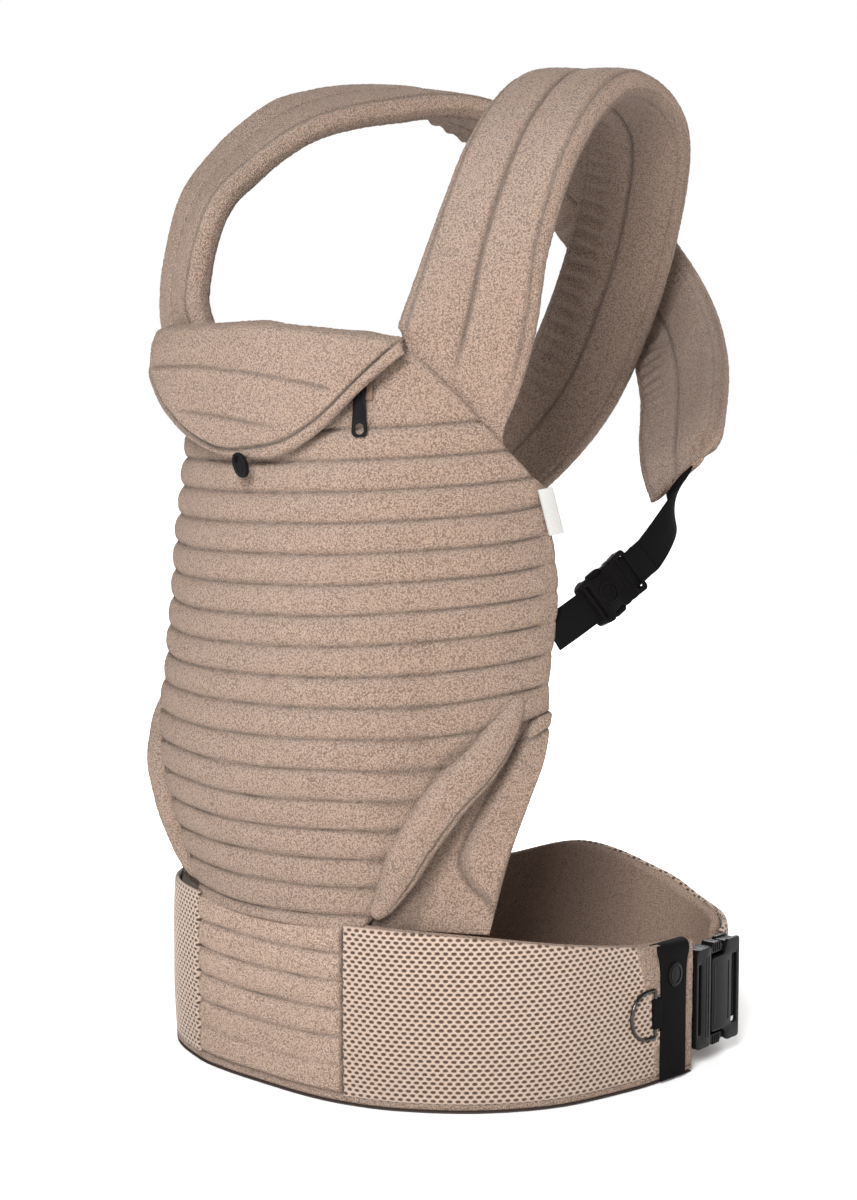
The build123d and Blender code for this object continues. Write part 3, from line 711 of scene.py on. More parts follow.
def strap_section(half, thick, count):
    """Rounded slab: across and out positions and normals at even steps round it."""
    flat = half - thick
    side = np.pi * thick
    at = np.linspace(0, 4 * flat + 2 * side, count, endpoint=False)
    back = at >= 2 * flat + side
    at = at - back * (2 * flat + side)
    sign = np.where(back, -1, 1)
    turn = np.maximum(at - 2 * flat, 0) / thick
    across = sign * (np.minimum(at, 2 * flat) - flat + thick * np.sin(turn))
    normal = sign[:, None] * np.stack((np.sin(turn), np.cos(turn)), axis=1)
    return across, thick * normal[:, 1], normal


def make_strap(stations, side, name):
    (x, y, z), turned, half = stations[0]
    inside = ((x * 0.93, y * 0.90, z - 18), turned, half)
    root = ((x * 0.965, y * 0.94, z), turned, half)
    flat = [(*c, *w, h) for c, w, h in [inside, root] + stations[1:]]
    rows, at = resample(flat, CLOTH_STEP)
    centre = rows[:, :3]
    along = unit(np.gradient(centre, axis=0))
    width = rows[:, 3:6]
    square = width - along * (width * along).sum(axis=1, keepdims=True)
    blend = (ease(16, 60, at) * ease(at[-1], at[-1] - 45, at))[:, None]
    width = unit(unit(width) * (1 - blend) + unit(square) * blend)
    out = unit(np.cross(along, width)) * -side
    half = rows[:, 6]
    total = at[-1]
    across, rise, normal = strap_section(STRAP_HALF, STRAP_THICK, STRAP_POINTS)
    widen = half / STRAP_HALF
    taper = (0.2 + 0.8 * ease(0, 48, at)) * (0.3 + 0.7 * ease(total, total - 30, at))
    share = across / STRAP_HALF
    outer_face = normal[:, 1] > 0.2
    inner_face = normal[:, 1] < -0.2
    flat_face = np.abs(normal[:, 1]) > 0.5
    line = ridge(across, 0, 1.7) * flat_face
    edge = ridge(np.abs(across), 36.5, 1.5) * flat_face
    puff = (1 - (np.abs(np.abs(share) - 0.45) / 0.55) ** 2) * (2.0 * outer_face + 1.2 * inner_face)
    grid_at, grid_across = np.meshgrid(at, across, indexing="ij")
    swirl = soft_noise(np.stack((grid_at, grid_across, grid_at * 0), -1), 40, 41)
    bend = ease(60, 200, grid_at) * ease(total - 40, total - 160, grid_at)
    ripple_band = ease(0.1, 0.5, np.abs(share)) * ease(0.98, 0.75, np.abs(share)) * (share * side < 0)
    ripple = np.sin(grid_at / 2.15 + 1.4 * swirl) * bend * (1.3 * inner_face * ripple_band)[None, :]
    swell = (puff - 2.3 * line - 1.3 * edge)[None, :] * ease(10, 50, grid_at) + ripple
    swell = swell * taper[:, None]
    off_across = (across[None, :] * widen[:, None]) + normal[:, 0][None, :] * swell
    off_out = rise[None, :] * taper[:, None] + normal[:, 1][None, :] * swell
    rings = centre[:, None] + width[:, None] * off_across[..., None] + out[:, None] * off_out[..., None]
    rings = rings + out[:, None] * (0.7 * soft_noise(rings, 30, 43) * taper[:, None])[..., None]
    # Painted shade in the centre and edge seams, in the ripples' hollows, and over the whole inner face
    # where the strap shades itself
    painted_shade = np.clip(line * 0.95 + edge * 0.7, 0, 1)[None, :] * ease(10, 50, grid_at)
    painted_shade = np.maximum(painted_shade, np.clip(-ripple * 0.55, 0, 0.6))
    painted_shade = np.maximum(painted_shade, 0.42 * inner_face[None, :])
    obj = tube("shoulder_strap_" + name, rings if side < 0 else rings[:, ::-1],
               painted_shade if side < 0 else painted_shade[:, ::-1], nap=0.55)
    declare(obj, BOUCLE, ROOT, ("strap_pad_" + name, "strap_lining_" + name))


# ---------------------------------------------------------------- belt

def belt_run(path, tops, step):
    """Outer line, inward direction and top height along a belt path, step mm apart."""
    rows, at = resample([(x, y, t) for (x, y), t in zip(path, tops)], step, places=2)
    along = unit(np.gradient(rows[:, :2], axis=0))
    inward = np.stack((-along[:, 1], along[:, 0]), axis=1)
    facing = (inward * (rows[:, :2] - np.array((0, 15)))).sum(axis=1)
    inward = inward * np.where(facing > 0, -1, 1)[:, None]
    return rows[:, :2], inward, rows[:, 2], at


def belt_grid(run, keep, depth, shares):
    """Points of a belt layer at one depth, over the stations in keep.

    Past FAR_END_RISE, which only the far wing reaches, the lower edge rises towards the end.
    """
    line, inward, tops, at = (values[keep] for values in run)
    base = line + inward * depth
    foot = BELT_LOW + 20.0 * ease(FAR_END_RISE, FAR_END_RISE + 34, at)[:, None]
    z = foot + (tops[:, None] - foot) * shares[None, :]
    xy = np.repeat(base[:, None], len(shares), axis=1)
    return np.concatenate((xy, z[..., None]), axis=-1)


def hole_depth(u, v):
    """From 0 on a thread to 1 in the middle of a hole of the spacer mesh."""
    nearest = np.full(u.shape, 9.0)
    for shift in (0.0, 0.5):
        du = ((u / HOLE_PITCH[0] + shift) % 1 - 0.5) * HOLE_PITCH[0] / HOLE_HALF[0]
        dv = ((v / HOLE_PITCH[1] + shift) % 1 - 0.5) * HOLE_PITCH[1] / HOLE_HALF[1]
        nearest = np.minimum(nearest, du ** 2 + dv ** 2)
    return ease(1.5, 0.4, nearest)


def wing_skin(name, run, keep, body, nodes, flip, bulge=2.0, bend=None):
    """Outer spacer mesh of a wing, with its holes as pits."""
    shares = spread(112, MESH_STEP * 0.8)
    middle = belt_grid(run, keep, 1.5, shares)
    distance, along_rows, along_cols = border_distance(middle)
    belly = bulge * np.sin(np.pi * shares)[None, :] ** 0.7
    pits = hole_depth(along_rows, along_cols) * ease(3, 8, distance)
    gather = np.sin(along_cols / 1.7 + 2.5 * soft_noise(middle, 14, 53)) * ridge(along_rows, 0, 8)
    front = 1.8 + belly - 1.1 * pits + 0.4 * soft_noise(middle, 35, 51) + 0.8 * gather
    obj = pad(name, middle, front, 1.8, 3.0, flip=flip)
    declare(obj, SPACER, body, nodes, bend)


def wing_lining(name, run, keep, body, nodes, flip, bend=None):
    """Inner face of a wing, a soft knit over foam; the far wing's is shaded towards the front."""
    shares = spread(112, CLOTH_STEP)
    middle = belt_grid(run, keep, 7.5, shares)
    back = 4.4 + 0.8 * soft_noise(middle, 40, 52)
    shade = 1.5 * ease(150, 40, middle[..., 0]) * flip
    obj = pad(name, middle, 3.0, back, 4.4, shade, flip, 0.3)
    declare(obj, LINING, body, nodes, bend)


def make_hem(name, run, keep, body, nodes, bend=None):
    """Rounded binding along the bottom of a belt run, with a dark sole under it that is partly the hem's
    dark underside and partly painted contact shadow.
    """
    line, inward = (values[keep] for values in run[:2])
    turn = turns(24)
    middle = line + inward * 6.0
    binding = 4.4 + np.where(np.sin(turn) > 0, 3.0, 3.2) * np.sin(turn)
    # Sole: partly the dark underside, partly painted contact shadow along the floor
    sole_and_shadow = 1.0 + 1.0 * np.sin(turn)
    for ending, half, z, material, replaced in (("_binding", HEM_HALF, binding, BOUCLE, nodes),
                                                ("_sole_and_shadow", 0.97 * HEM_HALF, sole_and_shadow, SOLE_AND_SHADOW, ())):
        across = half * np.cos(turn)
        rings = np.concatenate((middle[:, None] + inward[:, None] * across[None, :, None],
                                np.repeat(z[None, :, None], len(middle), axis=0)), axis=-1)
        declare(tube(name + ending, rings), material, body, replaced, bend=bend)


def make_belt_front(near, far):
    """Quilted cover across the front, from the seam on one side to the seam on the other."""
    keep_near = (near[0][:, 0] <= SEAM_X - 0.5) & (near[3] < FRONT_REACH)
    keep_far = (far[0][:, 0] >= 0.5 - SEAM_X) & (far[3] > 0.1) & (far[3] < FRONT_REACH)
    run = [np.concatenate((b[keep_far][::-1], a[keep_near])) for a, b in zip(near[:3], far[:3])]
    span = np.concatenate((-far[3][keep_far][::-1], near[3][keep_near]))
    run.append(span)
    everything = np.ones(len(span), bool)
    shares = spread(122, CLOTH_STEP * 0.8)
    middle = belt_grid(run, everything, 6.0, shares)
    z = middle[..., 2]
    sag = 2.5 * np.cos(span / SEAM_X * 1.4)[:, None]
    level = (BELT_HIGH - z - sag) / BELT_CHANNEL
    swell = channel_swell(level - np.floor(level), 2.4)
    strength = np.interp(z, (18, 45, 126), (0.35, 0.95, 1.0))
    swell = 0.75 + (swell - 0.75) * strength
    front = 3.2 + 4.6 * swell + 0.5 * soft_noise(middle, 20, 61)
    back = 5.2 + 0.5 * soft_noise(middle, 30, 62)
    # Painted shade in the quilted valleys and in the seams to the wings
    painted_shade = np.maximum(np.clip(1 - 1.8 * swell, 0, 1), ridge(np.abs(span), 71.5, 1.6)[:, None])
    obj = pad("belt_front_quilted", middle, front, back, 6.0, painted_shade, nap=0.5)
    declare(obj, LIT_BELT_BOUCLE, ROOT, ("belt_front_cover", "belt_front_foam"))
    make_hem("belt_front_hem", run, everything, ROOT, ("belt_front_hem",))


def make_belt():
    far_path = FAR_PATH + FAR_END_PATH[1:]
    far_tops = FAR_TOPS + FAR_END_TOPS[1:]
    fine_near = belt_run(NEAR_PATH, NEAR_TOPS, MESH_STEP)
    fine_far = belt_run(far_path, far_tops, MESH_STEP)
    near = belt_run(NEAR_PATH, NEAR_TOPS, CLOTH_STEP)
    far = belt_run(far_path, far_tops, CLOTH_STEP)
    make_belt_front(near, far)
    seam = SEAM_X - 3.5
    keep = (fine_near[0][:, 0] > seam) & (fine_near[0][:, 1] < 48)
    wing_skin("near_wing_skin", fine_near, keep, ROOT, ("near_wing_mesh",), False)
    keep = near[0][:, 0] > seam
    wing_lining("near_wing_lining", near, keep, ROOT, ("near_wing_foam",), False)
    make_hem("near_wing_hem", near, keep, ROOT, ("near_wing_hem",))
    make_near_end(near)
    bend = ("waist_plug", (70, 185, 60), (186, 158, 60))
    keep = (fine_far[0][:, 0] < -seam) | (fine_far[3] > FRONT_REACH)
    wing_skin("far_wing_skin", fine_far, keep, ROOT, ("far_wing_mesh", "far_wing_end_mesh"), True, bend=bend)
    keep = (far[0][:, 0] < -seam) | (far[3] > FRONT_REACH)
    wing_lining("far_wing_lining", far, keep, ROOT, ("far_wing_foam", "far_wing_end_foam"), True, bend)
    keep = keep & (far[3] < FAR_END_RISE + 6)
    make_hem("far_wing_hem", far, keep, ROOT, ("far_wing_hem", "far_wing_end_hem"), bend)


def make_near_end(near):
    """Boucle patch that covers the mesh's end, with a slanting front edge."""
    line, inward, tops, at = near
    begin = np.interp(14, line[:, 1][at > 100], at[at > 100])
    shares = spread(95, CLOTH_STEP)
    along = spread(at[-1] - begin, CLOTH_STEP)
    start = begin + 20 * (1 - shares)
    place = start[None, :] + (at[-1] - start)[None, :] * along[:, None]
    top = np.interp(place, at, tops)
    middle = np.stack([np.interp(place, at, line[:, k] + inward[:, k] * 1.2) for k in range(2)]
                      + [BELT_LOW + (top - BELT_LOW) * shares[None, :]], axis=-1)
    front = 3.0 + 0.6 * soft_noise(middle, 12, 71)
    obj = pad("near_end_patch", middle, front, 1.6, 3.0, nap=0.5)
    declare(obj, BOUCLE, ROOT, ("near_end_cover",))


# ---------------------------------------------------------------- buckles and small parts

def rounded(corners, radius, steps=4):
    """Closed outline through the corners, each of them rounded."""
    outline = []
    for k, corner in enumerate(corners):
        here = np.array(corner, float)
        before = np.array(corners[k - 1], float)
        after = np.array(corners[(k + 1) % len(corners)], float)
        cut = min(radius, 0.45 * np.linalg.norm(before - here), 0.45 * np.linalg.norm(after - here))
        first = here + unit(before - here) * cut
        last = here + unit(after - here) * cut
        for t in np.linspace(0, 1, steps + 1):
            outline.append((1 - t) ** 2 * first + 2 * t * (1 - t) * here + t * t * last)
    return np.array(outline)


def block(x0, x1, y0, y1, radius=1.0):
    return rounded([(x0, y0), (x1, y0), (x1, y1), (x0, y1)], radius)


def oval(x, y, half_x, half_y, count=36):
    turn = turns(count)
    return np.stack((x + half_x * np.cos(turn), y + half_y * np.sin(turn)), axis=1)


def slab(outlines, low, high, bevel=0.5):
    """Plate between two heights: the first outline is its rim and the others are its holes."""
    bm = bmesh.new()
    for outline in outlines:
        verts = [bm.verts.new((x, y, low)) for x, y in outline]
        for a, b in zip(verts, verts[1:] + verts[:1]):
            bm.edges.new((a, b))
    bmesh.ops.triangle_fill(bm, use_beauty=True, use_dissolve=False, edges=bm.edges[:], normal=(0, 0, 1))
    made = bmesh.ops.extrude_face_region(bm, geom=bm.faces[:], use_keep_orig=True)
    raised = [v for v in made["geom"] if isinstance(v, bmesh.types.BMVert)]
    bmesh.ops.translate(bm, verts=raised, vec=(0, 0, high - low))
    rims = [e for e in bm.edges if len(e.link_faces) == 2 and e.calc_face_angle(0) > 1.0
            and abs(e.verts[0].co.z - e.verts[1].co.z) < 1e-6]
    bmesh.ops.bevel(bm, geom=rims, offset=bevel, segments=2, profile=0.6, affect="EDGES")
    bmesh.ops.recalc_face_normals(bm, faces=bm.faces[:])
    bm.verts.index_update()
    points = np.array([v.co[:] for v in bm.verts])
    faces = [[v.index for v in f.verts] for f in bm.faces]
    bm.free()
    return points, faces


def rod(route, radius, count=12, closed=False):
    """Round bar along a route of points."""
    route = np.asarray(route, float)
    if closed:
        along = unit(np.roll(route, -1, axis=0) - np.roll(route, 1, axis=0))
    else:
        along = unit(np.gradient(route, axis=0))
    helper = np.array((0.0, 0.02, 1.0))
    first = unit(np.cross(along, helper))
    second = np.cross(along, first)
    turn = turns(count)
    rings = (route[:, None] + radius * (first[:, None] * np.cos(turn)[None, :, None]
                                        + second[:, None] * np.sin(turn)[None, :, None]))
    ids = np.arange(len(route) * count).reshape(len(route), count)
    if closed:
        ids = np.concatenate((ids, ids[:1]))
    faces = ring_faces(ids)
    if not closed:
        faces += [ids[0].tolist(), ids[-1][::-1].tolist()]
    return rings.reshape(-1, 3), faces


def hardware(name, shapes, place, material, body, nodes):
    """One rigid piece from shapes drawn in a local frame: origin, long axis and face direction."""
    at, axis, face = (np.array(v, float) for v in place)
    axis = unit(axis)
    across = unit(np.cross(face, axis))
    basis = np.array((axis, across, np.cross(axis, across)))
    points = []
    faces = []
    for shape_points, shape_faces in shapes:
        offset = sum(len(p) for p in points)
        points.append(np.asarray(shape_points) @ basis + at)
        faces += [[v + offset for v in f] for f in shape_faces]
    obj = build_mesh(name, np.concatenate(points), faces)
    obj.data.set_sharp_from_angle(angle=radians(28))
    declare(obj, material, body, nodes)


def band(name, route, thick, material, body, slot, nodes, bend=None):
    """Flat webbing along a route of centre, width direction and width."""
    rows, at = resample([(*centre, *unit(across), wide) for centre, across, wide in route], 2.0)
    along = unit(np.gradient(rows[:, :3], axis=0))
    across = rows[:, 3:6] - along * (rows[:, 3:6] * along).sum(axis=1, keepdims=True)
    across = unit(across)
    out = np.cross(along, across)
    section = np.array(BAND_SECTION)
    rings = (rows[:, None, :3] + across[:, None] * (rows[:, 6:7] / 2 * section[:, 0])[..., None]
             + out[:, None] * (section[:, 1] * thick / 2)[None, :, None])
    weave = np.stack((np.repeat(at[:, None], len(section), axis=1), rows[:, 6:7] / 2 * section[:, 0],
                      np.zeros((len(at), len(section)))), axis=-1)
    obj = tube(name, rings, weave=weave)
    declare(obj, material, body, nodes, bend=bend)


def mirrored(corners):
    """Corners on the +Y side, given from the back to the front, and the same on the other side."""
    return [(x, y) for x, y in corners] + [(x, -y) for x, y in reversed(corners)]


def make_prong(body, upper, arm, radius, half, bevel, ribs, rib, place):
    """Spring arm of a buckle with ribs on its grip; upper is -1 for its mirror image.

    rib is a rib's middle, half length, width, half height, corner radius and bevel.
    """
    middle, reach, wide, high, corner, edge = rib
    low = middle * upper - reach
    arm = rounded([(x, upper * y) for x, y in arm], radius)
    shapes = [slab([arm], -half, half, bevel)]
    shapes += [slab([block(x, x + wide, low, low + 2 * reach, corner)], -high, high, edge) for x in ribs]
    hardware(body + "_arm", shapes, place, PLASTIC, body, (body,))


def make_shoulder_buckle(side, name):
    at = np.array(SHOULDER_AT) * (side, 1, 1)
    axis = unit(np.array(SHOULDER_AXIS) * (side, 1, 1))
    face = unit(np.array(SHOULDER_FACE) * (side, 1, 1))
    place = (at, axis, face)
    shell = mirrored([(0, 14.5), (3, 17), (9.5, 18), (12, 13.6), (23, 13.6), (26, 16.5), (33.6, 16)])
    slot = block(3.0, 6.0, -13.5, 13.5, 1.2)
    shapes = [slab([rounded(shell, 2.0), slot], low, low + 1.9, 0.6) for low in (3.1, -5.0)]
    shapes.append(slab([rounded(mirrored([(0, 14.5), (3, 17), (9.5, 17.6)]), 2.0), slot], -4.6, 4.6, 1.2))
    shapes += [slab([block(25.5, 33.4, y - 1.1, y + 1.1, 0.6)], -4.0, 4.0, 0.4) for y in (15.0, -15.0)]
    shapes.append(slab([oval(18, 0, 9.0, 8.0), oval(18, 0, 7.4, 6.4)], 4.7, 6.0, 0.5))
    shapes.append(slab([oval(18, 0, 5.0, 4.2), oval(18, 0, 3.7, 3.0)], 4.7, 5.7, 0.35))
    shapes.append(slab([block(9, 10.2, -10, 10, 0.5)], 4.7, 5.6, 0.3))
    hardware("shoulder_socket_shell_" + name, shapes, place, PLASTIC, ROOT,
             ("shoulder_socket_" + name,))
    rim = rounded(mirrored([(41, 16.6), (50, 17.2), (52.3, 15)]), 1.6)
    window = block(43.0, 49.6, -13.2, 13.2, 1.2)
    shapes = [slab([block(34.4, 42.5, -16.6, 16.6, 1.5)], -4.4, 4.4, 0.7)]
    shapes += [slab([rim, window], low, low + 2.2, 0.6) for low in (2.3, -4.5)]
    shapes += [slab([block(41, 51.5, y - 1.6, y + 1.6, 0.8)], -3.5, 3.5, 0.4) for y in (15.2, -15.2)]
    shapes += [slab([block(x, x + 0.9, -13, 13, 0.4)], -4.9, 4.9, 0.3) for x in (35.6, 37.6, 39.6)]
    shapes.append(slab([block(12, 35, -3.4, 3.4, 1.0)], -2.5, 2.5, 0.5))
    body = "shoulder_plug_" + name
    hardware("shoulder_plug_frame_" + name, shapes, place, PLASTIC, body, (body,))
    arm = [(34.2, 10.8), (34.2, 14.2), (27.5, 14.8), (23.6, 18.2),
           (14.2, 18.2), (12.6, 15.6), (12.6, 12.4), (22, 11.9)]
    for upper, label in ((1, "a"), (-1, "b")):
        make_prong(f"shoulder_prong_{name}_{label}", upper, arm, 1.2, 2.7, 0.5, (15.6, 17.6, 19.6, 21.6),
                   (15, 2.2, 0.8, 3.0, 0.3, 0.2), place)
    make_shoulder_webbing(side, name, at, axis, face)


def make_shoulder_webbing(side, name, at, axis, face):
    """Webbing from the panel to the socket, the plug's loop, and from the loop to the strap's end."""
    across = np.cross(face, axis)
    stations = STRAP_LEFT if side > 0 else STRAP_RIGHT
    end = np.array(stations[-1][0], float)
    run = unit(end - np.array(stations[-2][0], float))
    width = unit(stations[-1][1])
    width = width * (1 if (width * across).sum() > 0 else -1)
    edge = np.array((side * 161.0, -25.0, 322.0))
    route = [(edge, across, SHOULDER_WEB), (at * 0.5 + edge * 0.5, across, SHOULDER_WEB),
             (at + axis * 4.4, across, SHOULDER_WEB)]
    band("side_web_" + name, route, 2.0, WEB, ROOT, "webbing", ("side_webbing_" + name,))
    plug = "shoulder_plug_" + name
    layer = face * 0.95
    route = [(at + axis * reach + layer, across, SHOULDER_WEB) for reach in (43, 56, 72)]
    band("loop_web_" + name, route, 1.6, WEB, plug, "webbing", ("web_loop_" + name,))
    start = at + axis * 62 - layer
    middle = (start + axis * 34) * 0.5 + (end + run * 20) * 0.5
    route = [(start, across, SHOULDER_WEB), (start + axis * 16, across, SHOULDER_WEB),
             (middle, across + width * 0.5, SHOULDER_WEB),
             (end + run * 4, across * 0.3 + width, SHOULDER_WEB), (end - run * 14, width, SHOULDER_WEB)]
    band("strap_web_" + name, route, 1.6, WEB, ROOT, "webbing", ("strap_webbing_" + name,),
         (plug, end, start + axis * 12))


def make_waist_buckle():
    place = (WAIST_AT, (0, 1, 0), (1, 0, 0))
    slot = block(2.6, 6.2, -26, 26, 1.2)
    rim = rounded(mirrored([(0, 34.5), (3, 37), (18.6, 37)]), 2.4)
    shapes = [slab([rim, slot], low, low + 2.4, 0.7) for low in (4.4, -6.8)]
    shapes.append(slab([rounded(mirrored([(0, 34.5), (3, 36.8), (8, 36.8)]), 2.0), slot], -6.4, 6.4, 1.4))
    shapes += [slab([block(7, 18.4, y - 1.0, y + 1.0, 0.6)], -5.4, 5.4, 0.4) for y in (35.8, -35.8)]
    shapes += [slab([block(x, x + 1.1, -30, 30, 0.5)], 6.4, 7.1, 0.3) for x in (12.4, 15.4)]
    hardware("waist_socket_shell", shapes, place, PLASTIC, ROOT, ("waist_socket",))
    neck = rounded(mirrored([(19.6, 27.5), (36.5, 28), (39.5, 37.8), (56, 37.8)]), 3.0)
    window = block(45.5, 52.0, -26, 26, 1.5)
    shapes = [slab([neck, window], low, low + 2.8, 0.8) for low in (4.2, -7.0)]
    shapes.append(slab([block(19.8, 44.5, -27.4, 27.4, 1.5)], -5.6, 5.6, 1.0))
    shapes += [slab([block(38.5, 54.5, y - 4.5, y + 4.5, 2.0)], -5.6, 5.6, 0.8) for y in (32.0, -32.0)]
    shapes += [slab([block(x, x + 1.2, -22, 22, 0.5)], 6.6, 7.3, 0.3) for x in (22.6, 41.2)]
    shapes.append(slab([block(8, 22, -7.5, 7.5, 2.0)], -3.2, 3.2, 0.6))
    hardware("waist_plug_frame", shapes, place, PLASTIC, "waist_plug", ("waist_plug",))
    arm = [(38, 30.0), (38, 34.5), (35, 35.5), (32.5, 38.2), (23.5, 38.2), (21.5, 34.4), (12.5, 33.6),
           (12.5, 31.2), (20, 30.2)]
    for upper, label in ((1, "upper"), (-1, "lower")):
        make_prong("waist_prong_" + label, upper, arm, 1.6, 5.0, 0.8, (24.2, 26.6, 29.0, 31.4),
                   (34.5, 3.2, 1.1, 5.6, 0.4, 0.3), place)
    x, y, z = WAIST_AT
    up = (0, 0, 1)
    route = [((x, y + reach, z), up, WAIST_WEB) for reach in (-8, 0, 5)]
    band("waist_web_near", route, 2.0, WEB, ROOT, "webbing", ("waist_webbing_near",))
    points = [(x, y + 44), (x, y + 58), (204.5, 145), (197, 152.5), (187, 160)]
    route = [((*point, z), up, WAIST_WEB) for point in points]
    band("waist_web_far", route, 2.0, WEB, "waist_plug", "webbing", ("waist_webbing_far",))


def make_belt_trim():
    """Webbing keeper with its snap, and the D-ring with its tab."""
    axis = np.array((0.095, 0.995, 0.0))
    face = np.array((0.995, -0.095, 0.0))
    foot = np.array((211.9, 50.0, 0.0)) + face * 2.4
    up = np.array((0.0, 0.0, 1.0))
    route = [(foot + up * height - face * back, axis, wide) for height, back, wide in KEEPER]
    band("keeper_web", route, 2.0, WEB, ROOT, "webbing", ("keeper_webbing",))
    shapes = [slab([oval(0, 78, 7.4, 8.8)], 0.4, 2.6, 0.9),
              slab([oval(0, 78, 5.6, 7.0), oval(0, 78, 4.6, 6.0)], 2.2, 3.1, 0.3)]
    hardware("snap_dome", shapes, (foot, axis, face), PLASTIC, ROOT, ("snap_cap",))
    place = ((209.6, 31, 53), (0.14, 0.99, 0), (0.99, -0.14, 0))
    shapes = [slab([block(-3.0, 6.0, -11, 11, 1.5)], 0.8, 5.2, 1.5)]
    hardware("d_ring_fold", shapes, place, WEB, ROOT, ("d_ring_tab",))
    bow = [(-8 - 16 * sin(t), 17 * cos(t), 2.9) for t in np.linspace(0, np.pi, 25)]
    straight = [(0, y, 2.9) for y in np.linspace(-16, 16, 9)]
    corners = [(-1.0, -17, 2.9), (-4, -17.2, 2.9)]
    route = straight + [(x, -y, w) for x, y, w in corners] + bow + corners[::-1]
    hardware("d_ring_wire", [rod(route, 1.35, 14, True)], place, STEEL, "d_ring", ("d_ring",))


def make_toggle():
    at = np.array((1.0, -163.6, 438.0))
    place = (at, (0.40, 0.05, -0.92), (0.12, -0.98, 0.0))
    shapes = [slab([oval(0, 0, 9.2, 5.6), oval(-5.6, 0, 1.5, 0.9, 16)], -1.9, 1.9, 1.2),
              slab([oval(0.8, 0, 5.6, 2.9), oval(0.8, 0, 4.9, 2.2)], 1.5, 2.3, 0.25)]
    hardware("toggle_bead", shapes, place, SATIN, "toggle", ("toggle_button",))
    cord = [(-1.8, -156.5, 443.0), (-1.8, -160.0, 440.6), (-1.7, -164.0, 439.8), (-1.4, -166.4, 441.2),
            (-1.2, -166.2, 443.4), (-1.2, -163.6, 443.6)]
    cord = [rod(resample(cord, 0.8)[0], 1.3)]
    upright = ((0, 0, 0), (1, 0, 0), (0, 0, 1))
    hardware("toggle_cord", cord, upright, WEB, "toggle", ("toggle_tab",))


def zipper_point(turn):
    return ZIPPER_REACH * sin(turn), ZIPPER_CENTRE - ZIPPER_REACH * cos(turn), ZIPPER_Z


def make_zipper():
    turn = radians(ZIPPER_TURN)
    place = (zipper_point(turn), (cos(turn), sin(turn), 0), (sin(turn), -cos(turn), 0))
    body = rounded([(-3.6, 5.4), (3.6, 5.4), (4.0, 1), (2.6, -5.4), (-2.6, -5.4), (-4.0, 1)], 1.2)
    bail = [(0, 2.4, 3.0), (0, 1.8, 4.4), (0, 0, 5.0), (0, -2.8, 5.0), (0, -4.4, 4.0), (0, -4.6, 2.8)]
    shapes = [slab([body], 0.5, 1.3, 0.3), slab([body], 2.2, 3.2, 0.35),
              slab([block(-1.2, 1.2, -2, 4.6, 0.5)], 1, 2.6, 0.2), rod(bail, 0.7)]
    hardware("zipper_slider_body", shapes, place, SATIN, "zipper_slider", ("zipper_slider",))
    pull = rounded([(-3.8, 1.5), (3.8, 1.5), (5.7, -27.5), (3.8, -30.5), (-3.8, -30.5), (-5.7, -27.5)], 1.8)
    hole = oval(0, -25.0, 3.4, 3.7)
    eye = oval(0, -1.6, 1.3, 1.5, 16)
    panel = rounded([(-2.8, -5), (2.8, -5), (3.7, -18.5), (-3.7, -18.5)], 1.0)
    inner = rounded([(-2.2, -5.6), (2.2, -5.6), (3.0, -17.9), (-3.0, -17.9)], 0.8)
    shapes = [slab([pull, hole, eye], 3.4, 5.0, 0.45), slab([panel, inner], 4.7, 5.4, 0.2)]
    hardware("zipper_pull_tab", shapes, place, SATIN, "zipper_pull", ("zipper_pull",))
    route = [(zipper_point(angle), (0, 0, 1), 12) for angle in np.radians(np.linspace(*ZIPPER_ENDS, 9))]
    band("zipper_tape_band", route, 1.2, TAPE, ROOT, "webbing", ("zipper_tape",))


def make_tag():
    place = ((164.6, -32, 407), (0.2, 0.98, 0), (0.98, -0.2, 0))
    outline = rounded([(0.0, -16.5), (12.5, -15.0), (2.0, 16.5), (-10.5, 15.0)], 0.8)
    shapes = [slab([outline], -0.7, 0.0, 0.2), slab([outline], 0.25, 0.9, 0.2)]
    hardware("tag_fold", shapes, place, TAG, ROOT, ("side_tag",))


# ---------------------------------------------------------------- stage, light and camera

# Floor: half size, and the distances from the origin between which it fades to glowing white
FLOOR_HALF = 12.0
GLOW_FROM = 0.17
GLOW_TO = 0.62
# World: heights of the view direction between which it fades, and its strength below and above them
WORLD_FADE = (0.27, 0.37, 1.0, 0.22)
# Lights: place, size and power; all of them face LIGHT_TARGET
LIGHTS = (("key", (1.1, -1.95, 1.4), 0.8, 100.0), ("back", (-1.0, 2.0, 1.9), 1.4, 52.0))
LIGHT_TARGET = (0.0, 0.0, 0.3)
# Camera: what it looks at, turn from the front in degrees, distance and height in mm, and lens
CAMERA_TARGET = (28.0, 0.0, 335.0)
CAMERA_TURN = 41.0
CAMERA_DISTANCE = 1500.0
CAMERA_Z = 490.0
CAMERA_LENS = 61.5


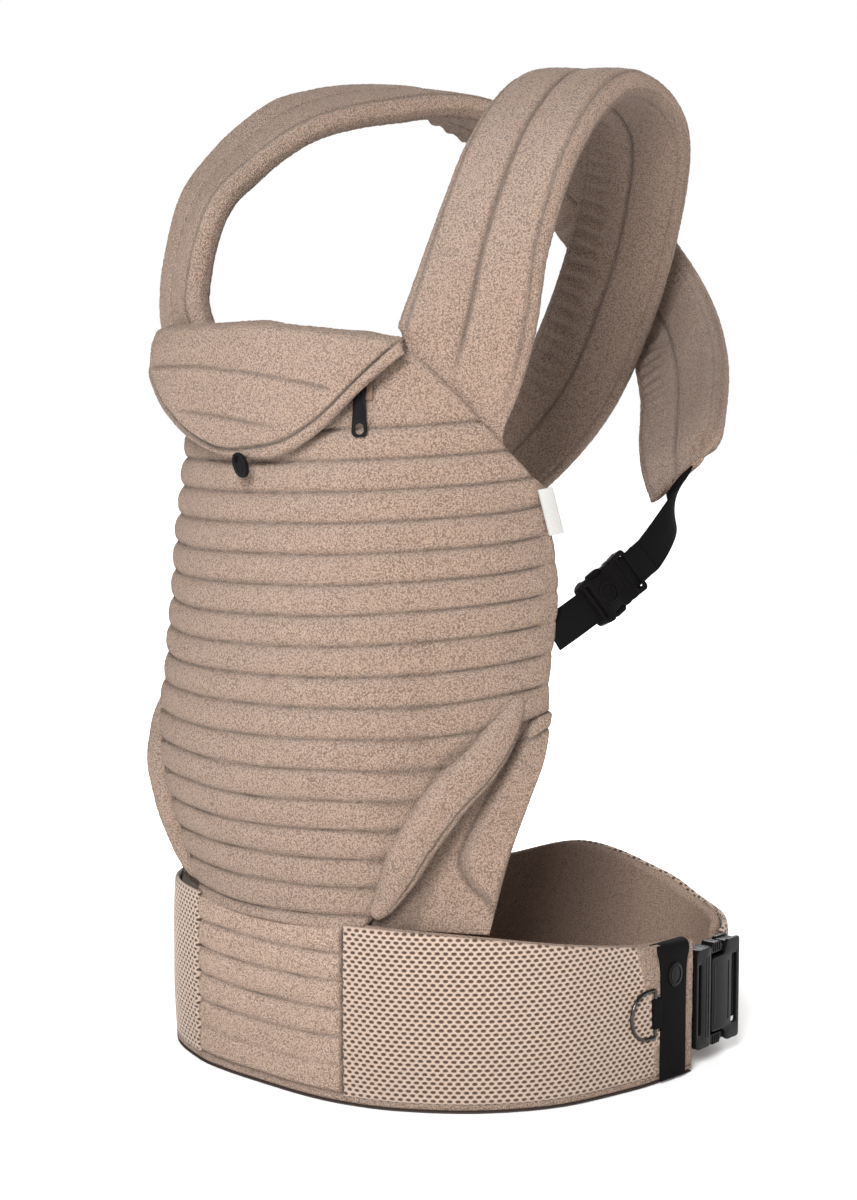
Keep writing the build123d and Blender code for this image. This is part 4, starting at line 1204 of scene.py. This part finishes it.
def make_floor():
    mesh = bpy.data.meshes.new("floor")
    corners = [(x * FLOOR_HALF, y * FLOOR_HALF, 0) for x, y in ((-1, -1), (1, -1), (1, 1), (-1, 1))]
    mesh.from_pydata(corners, [], [(0, 1, 2, 3)])
    floor = link("floor", mesh)
    shader = Shader(bpy.data.materials.new("floor_white"))
    reach = shader.node("VectorMath", {0: shader.position()}, operation="LENGTH")["Value"]
    shader.put((1.0, 1.0, 1.0), shader.surface["Emission Color"])
    shader.put(shader.range(reach, GLOW_FROM, GLOW_TO), shader.surface["Emission Strength"])
    floor.data.materials.append(shader.finish((0.93, 0.93, 0.93), 0.9, 0.1))


def make_world():
    world = bpy.data.worlds.new("studio")
    sky = Shader(world, "Background")
    height = sky.node("SeparateXYZ", {0: sky.node("TexCoord", {})["Generated"]})[2]
    sky.put((1.0, 1.0, 1.0), sky.surface["Color"])
    sky.put(sky.range(height, *WORLD_FADE), sky.surface["Strength"])
    bpy.context.scene.world = world
    bpy.context.scene.view_settings.view_transform = "Standard"


def make_lights():
    for name, place, size, power in LIGHTS:
        data = bpy.data.lights.new(name, "AREA")
        data.energy = power
        data.size = size
        lamp = link(name, data)
        lamp.location = place
        away = np.array(place) - np.array(LIGHT_TARGET)
        lamp.rotation_euler = (np.arctan2(np.hypot(away[0], away[1]), away[2]), 0,
                               np.arctan2(away[1], away[0]) + np.pi / 2)


def make_camera():
    target = np.array(CAMERA_TARGET)
    turn = radians(CAMERA_TURN)
    place = np.array((target[0] + CAMERA_DISTANCE * sin(turn), -CAMERA_DISTANCE * cos(turn), CAMERA_Z))
    data = bpy.data.cameras.new("camera")
    data.sensor_fit = "VERTICAL"
    data.sensor_height = 36.0
    data.lens = CAMERA_LENS
    camera = link("camera", data)
    camera.location = to_frame(place)
    look = unit(target - place)
    tilt = np.arcsin(look[2])
    camera.rotation_euler = (np.pi / 2 + tilt, 0, np.arctan2(look[1], look[0]) - np.pi / 2)
    bpy.context.scene.camera = camera


make_camera()
make_floor()
make_world()
make_lights()
make_panel()
for side, name in ((1, "right"), (-1, "left")):
    make_leg_roll(side, name)
    make_gusset(side, name)
make_flap()
make_strap(STRAP_RIGHT, 1, "right")
make_strap(STRAP_LEFT, -1, "left")
make_belt()
make_belt_trim()
for side, name in ((1, "right"), (-1, "left")):
    make_shoulder_buckle(side, name)
make_waist_buckle()
make_toggle()
make_zipper()
make_tag()
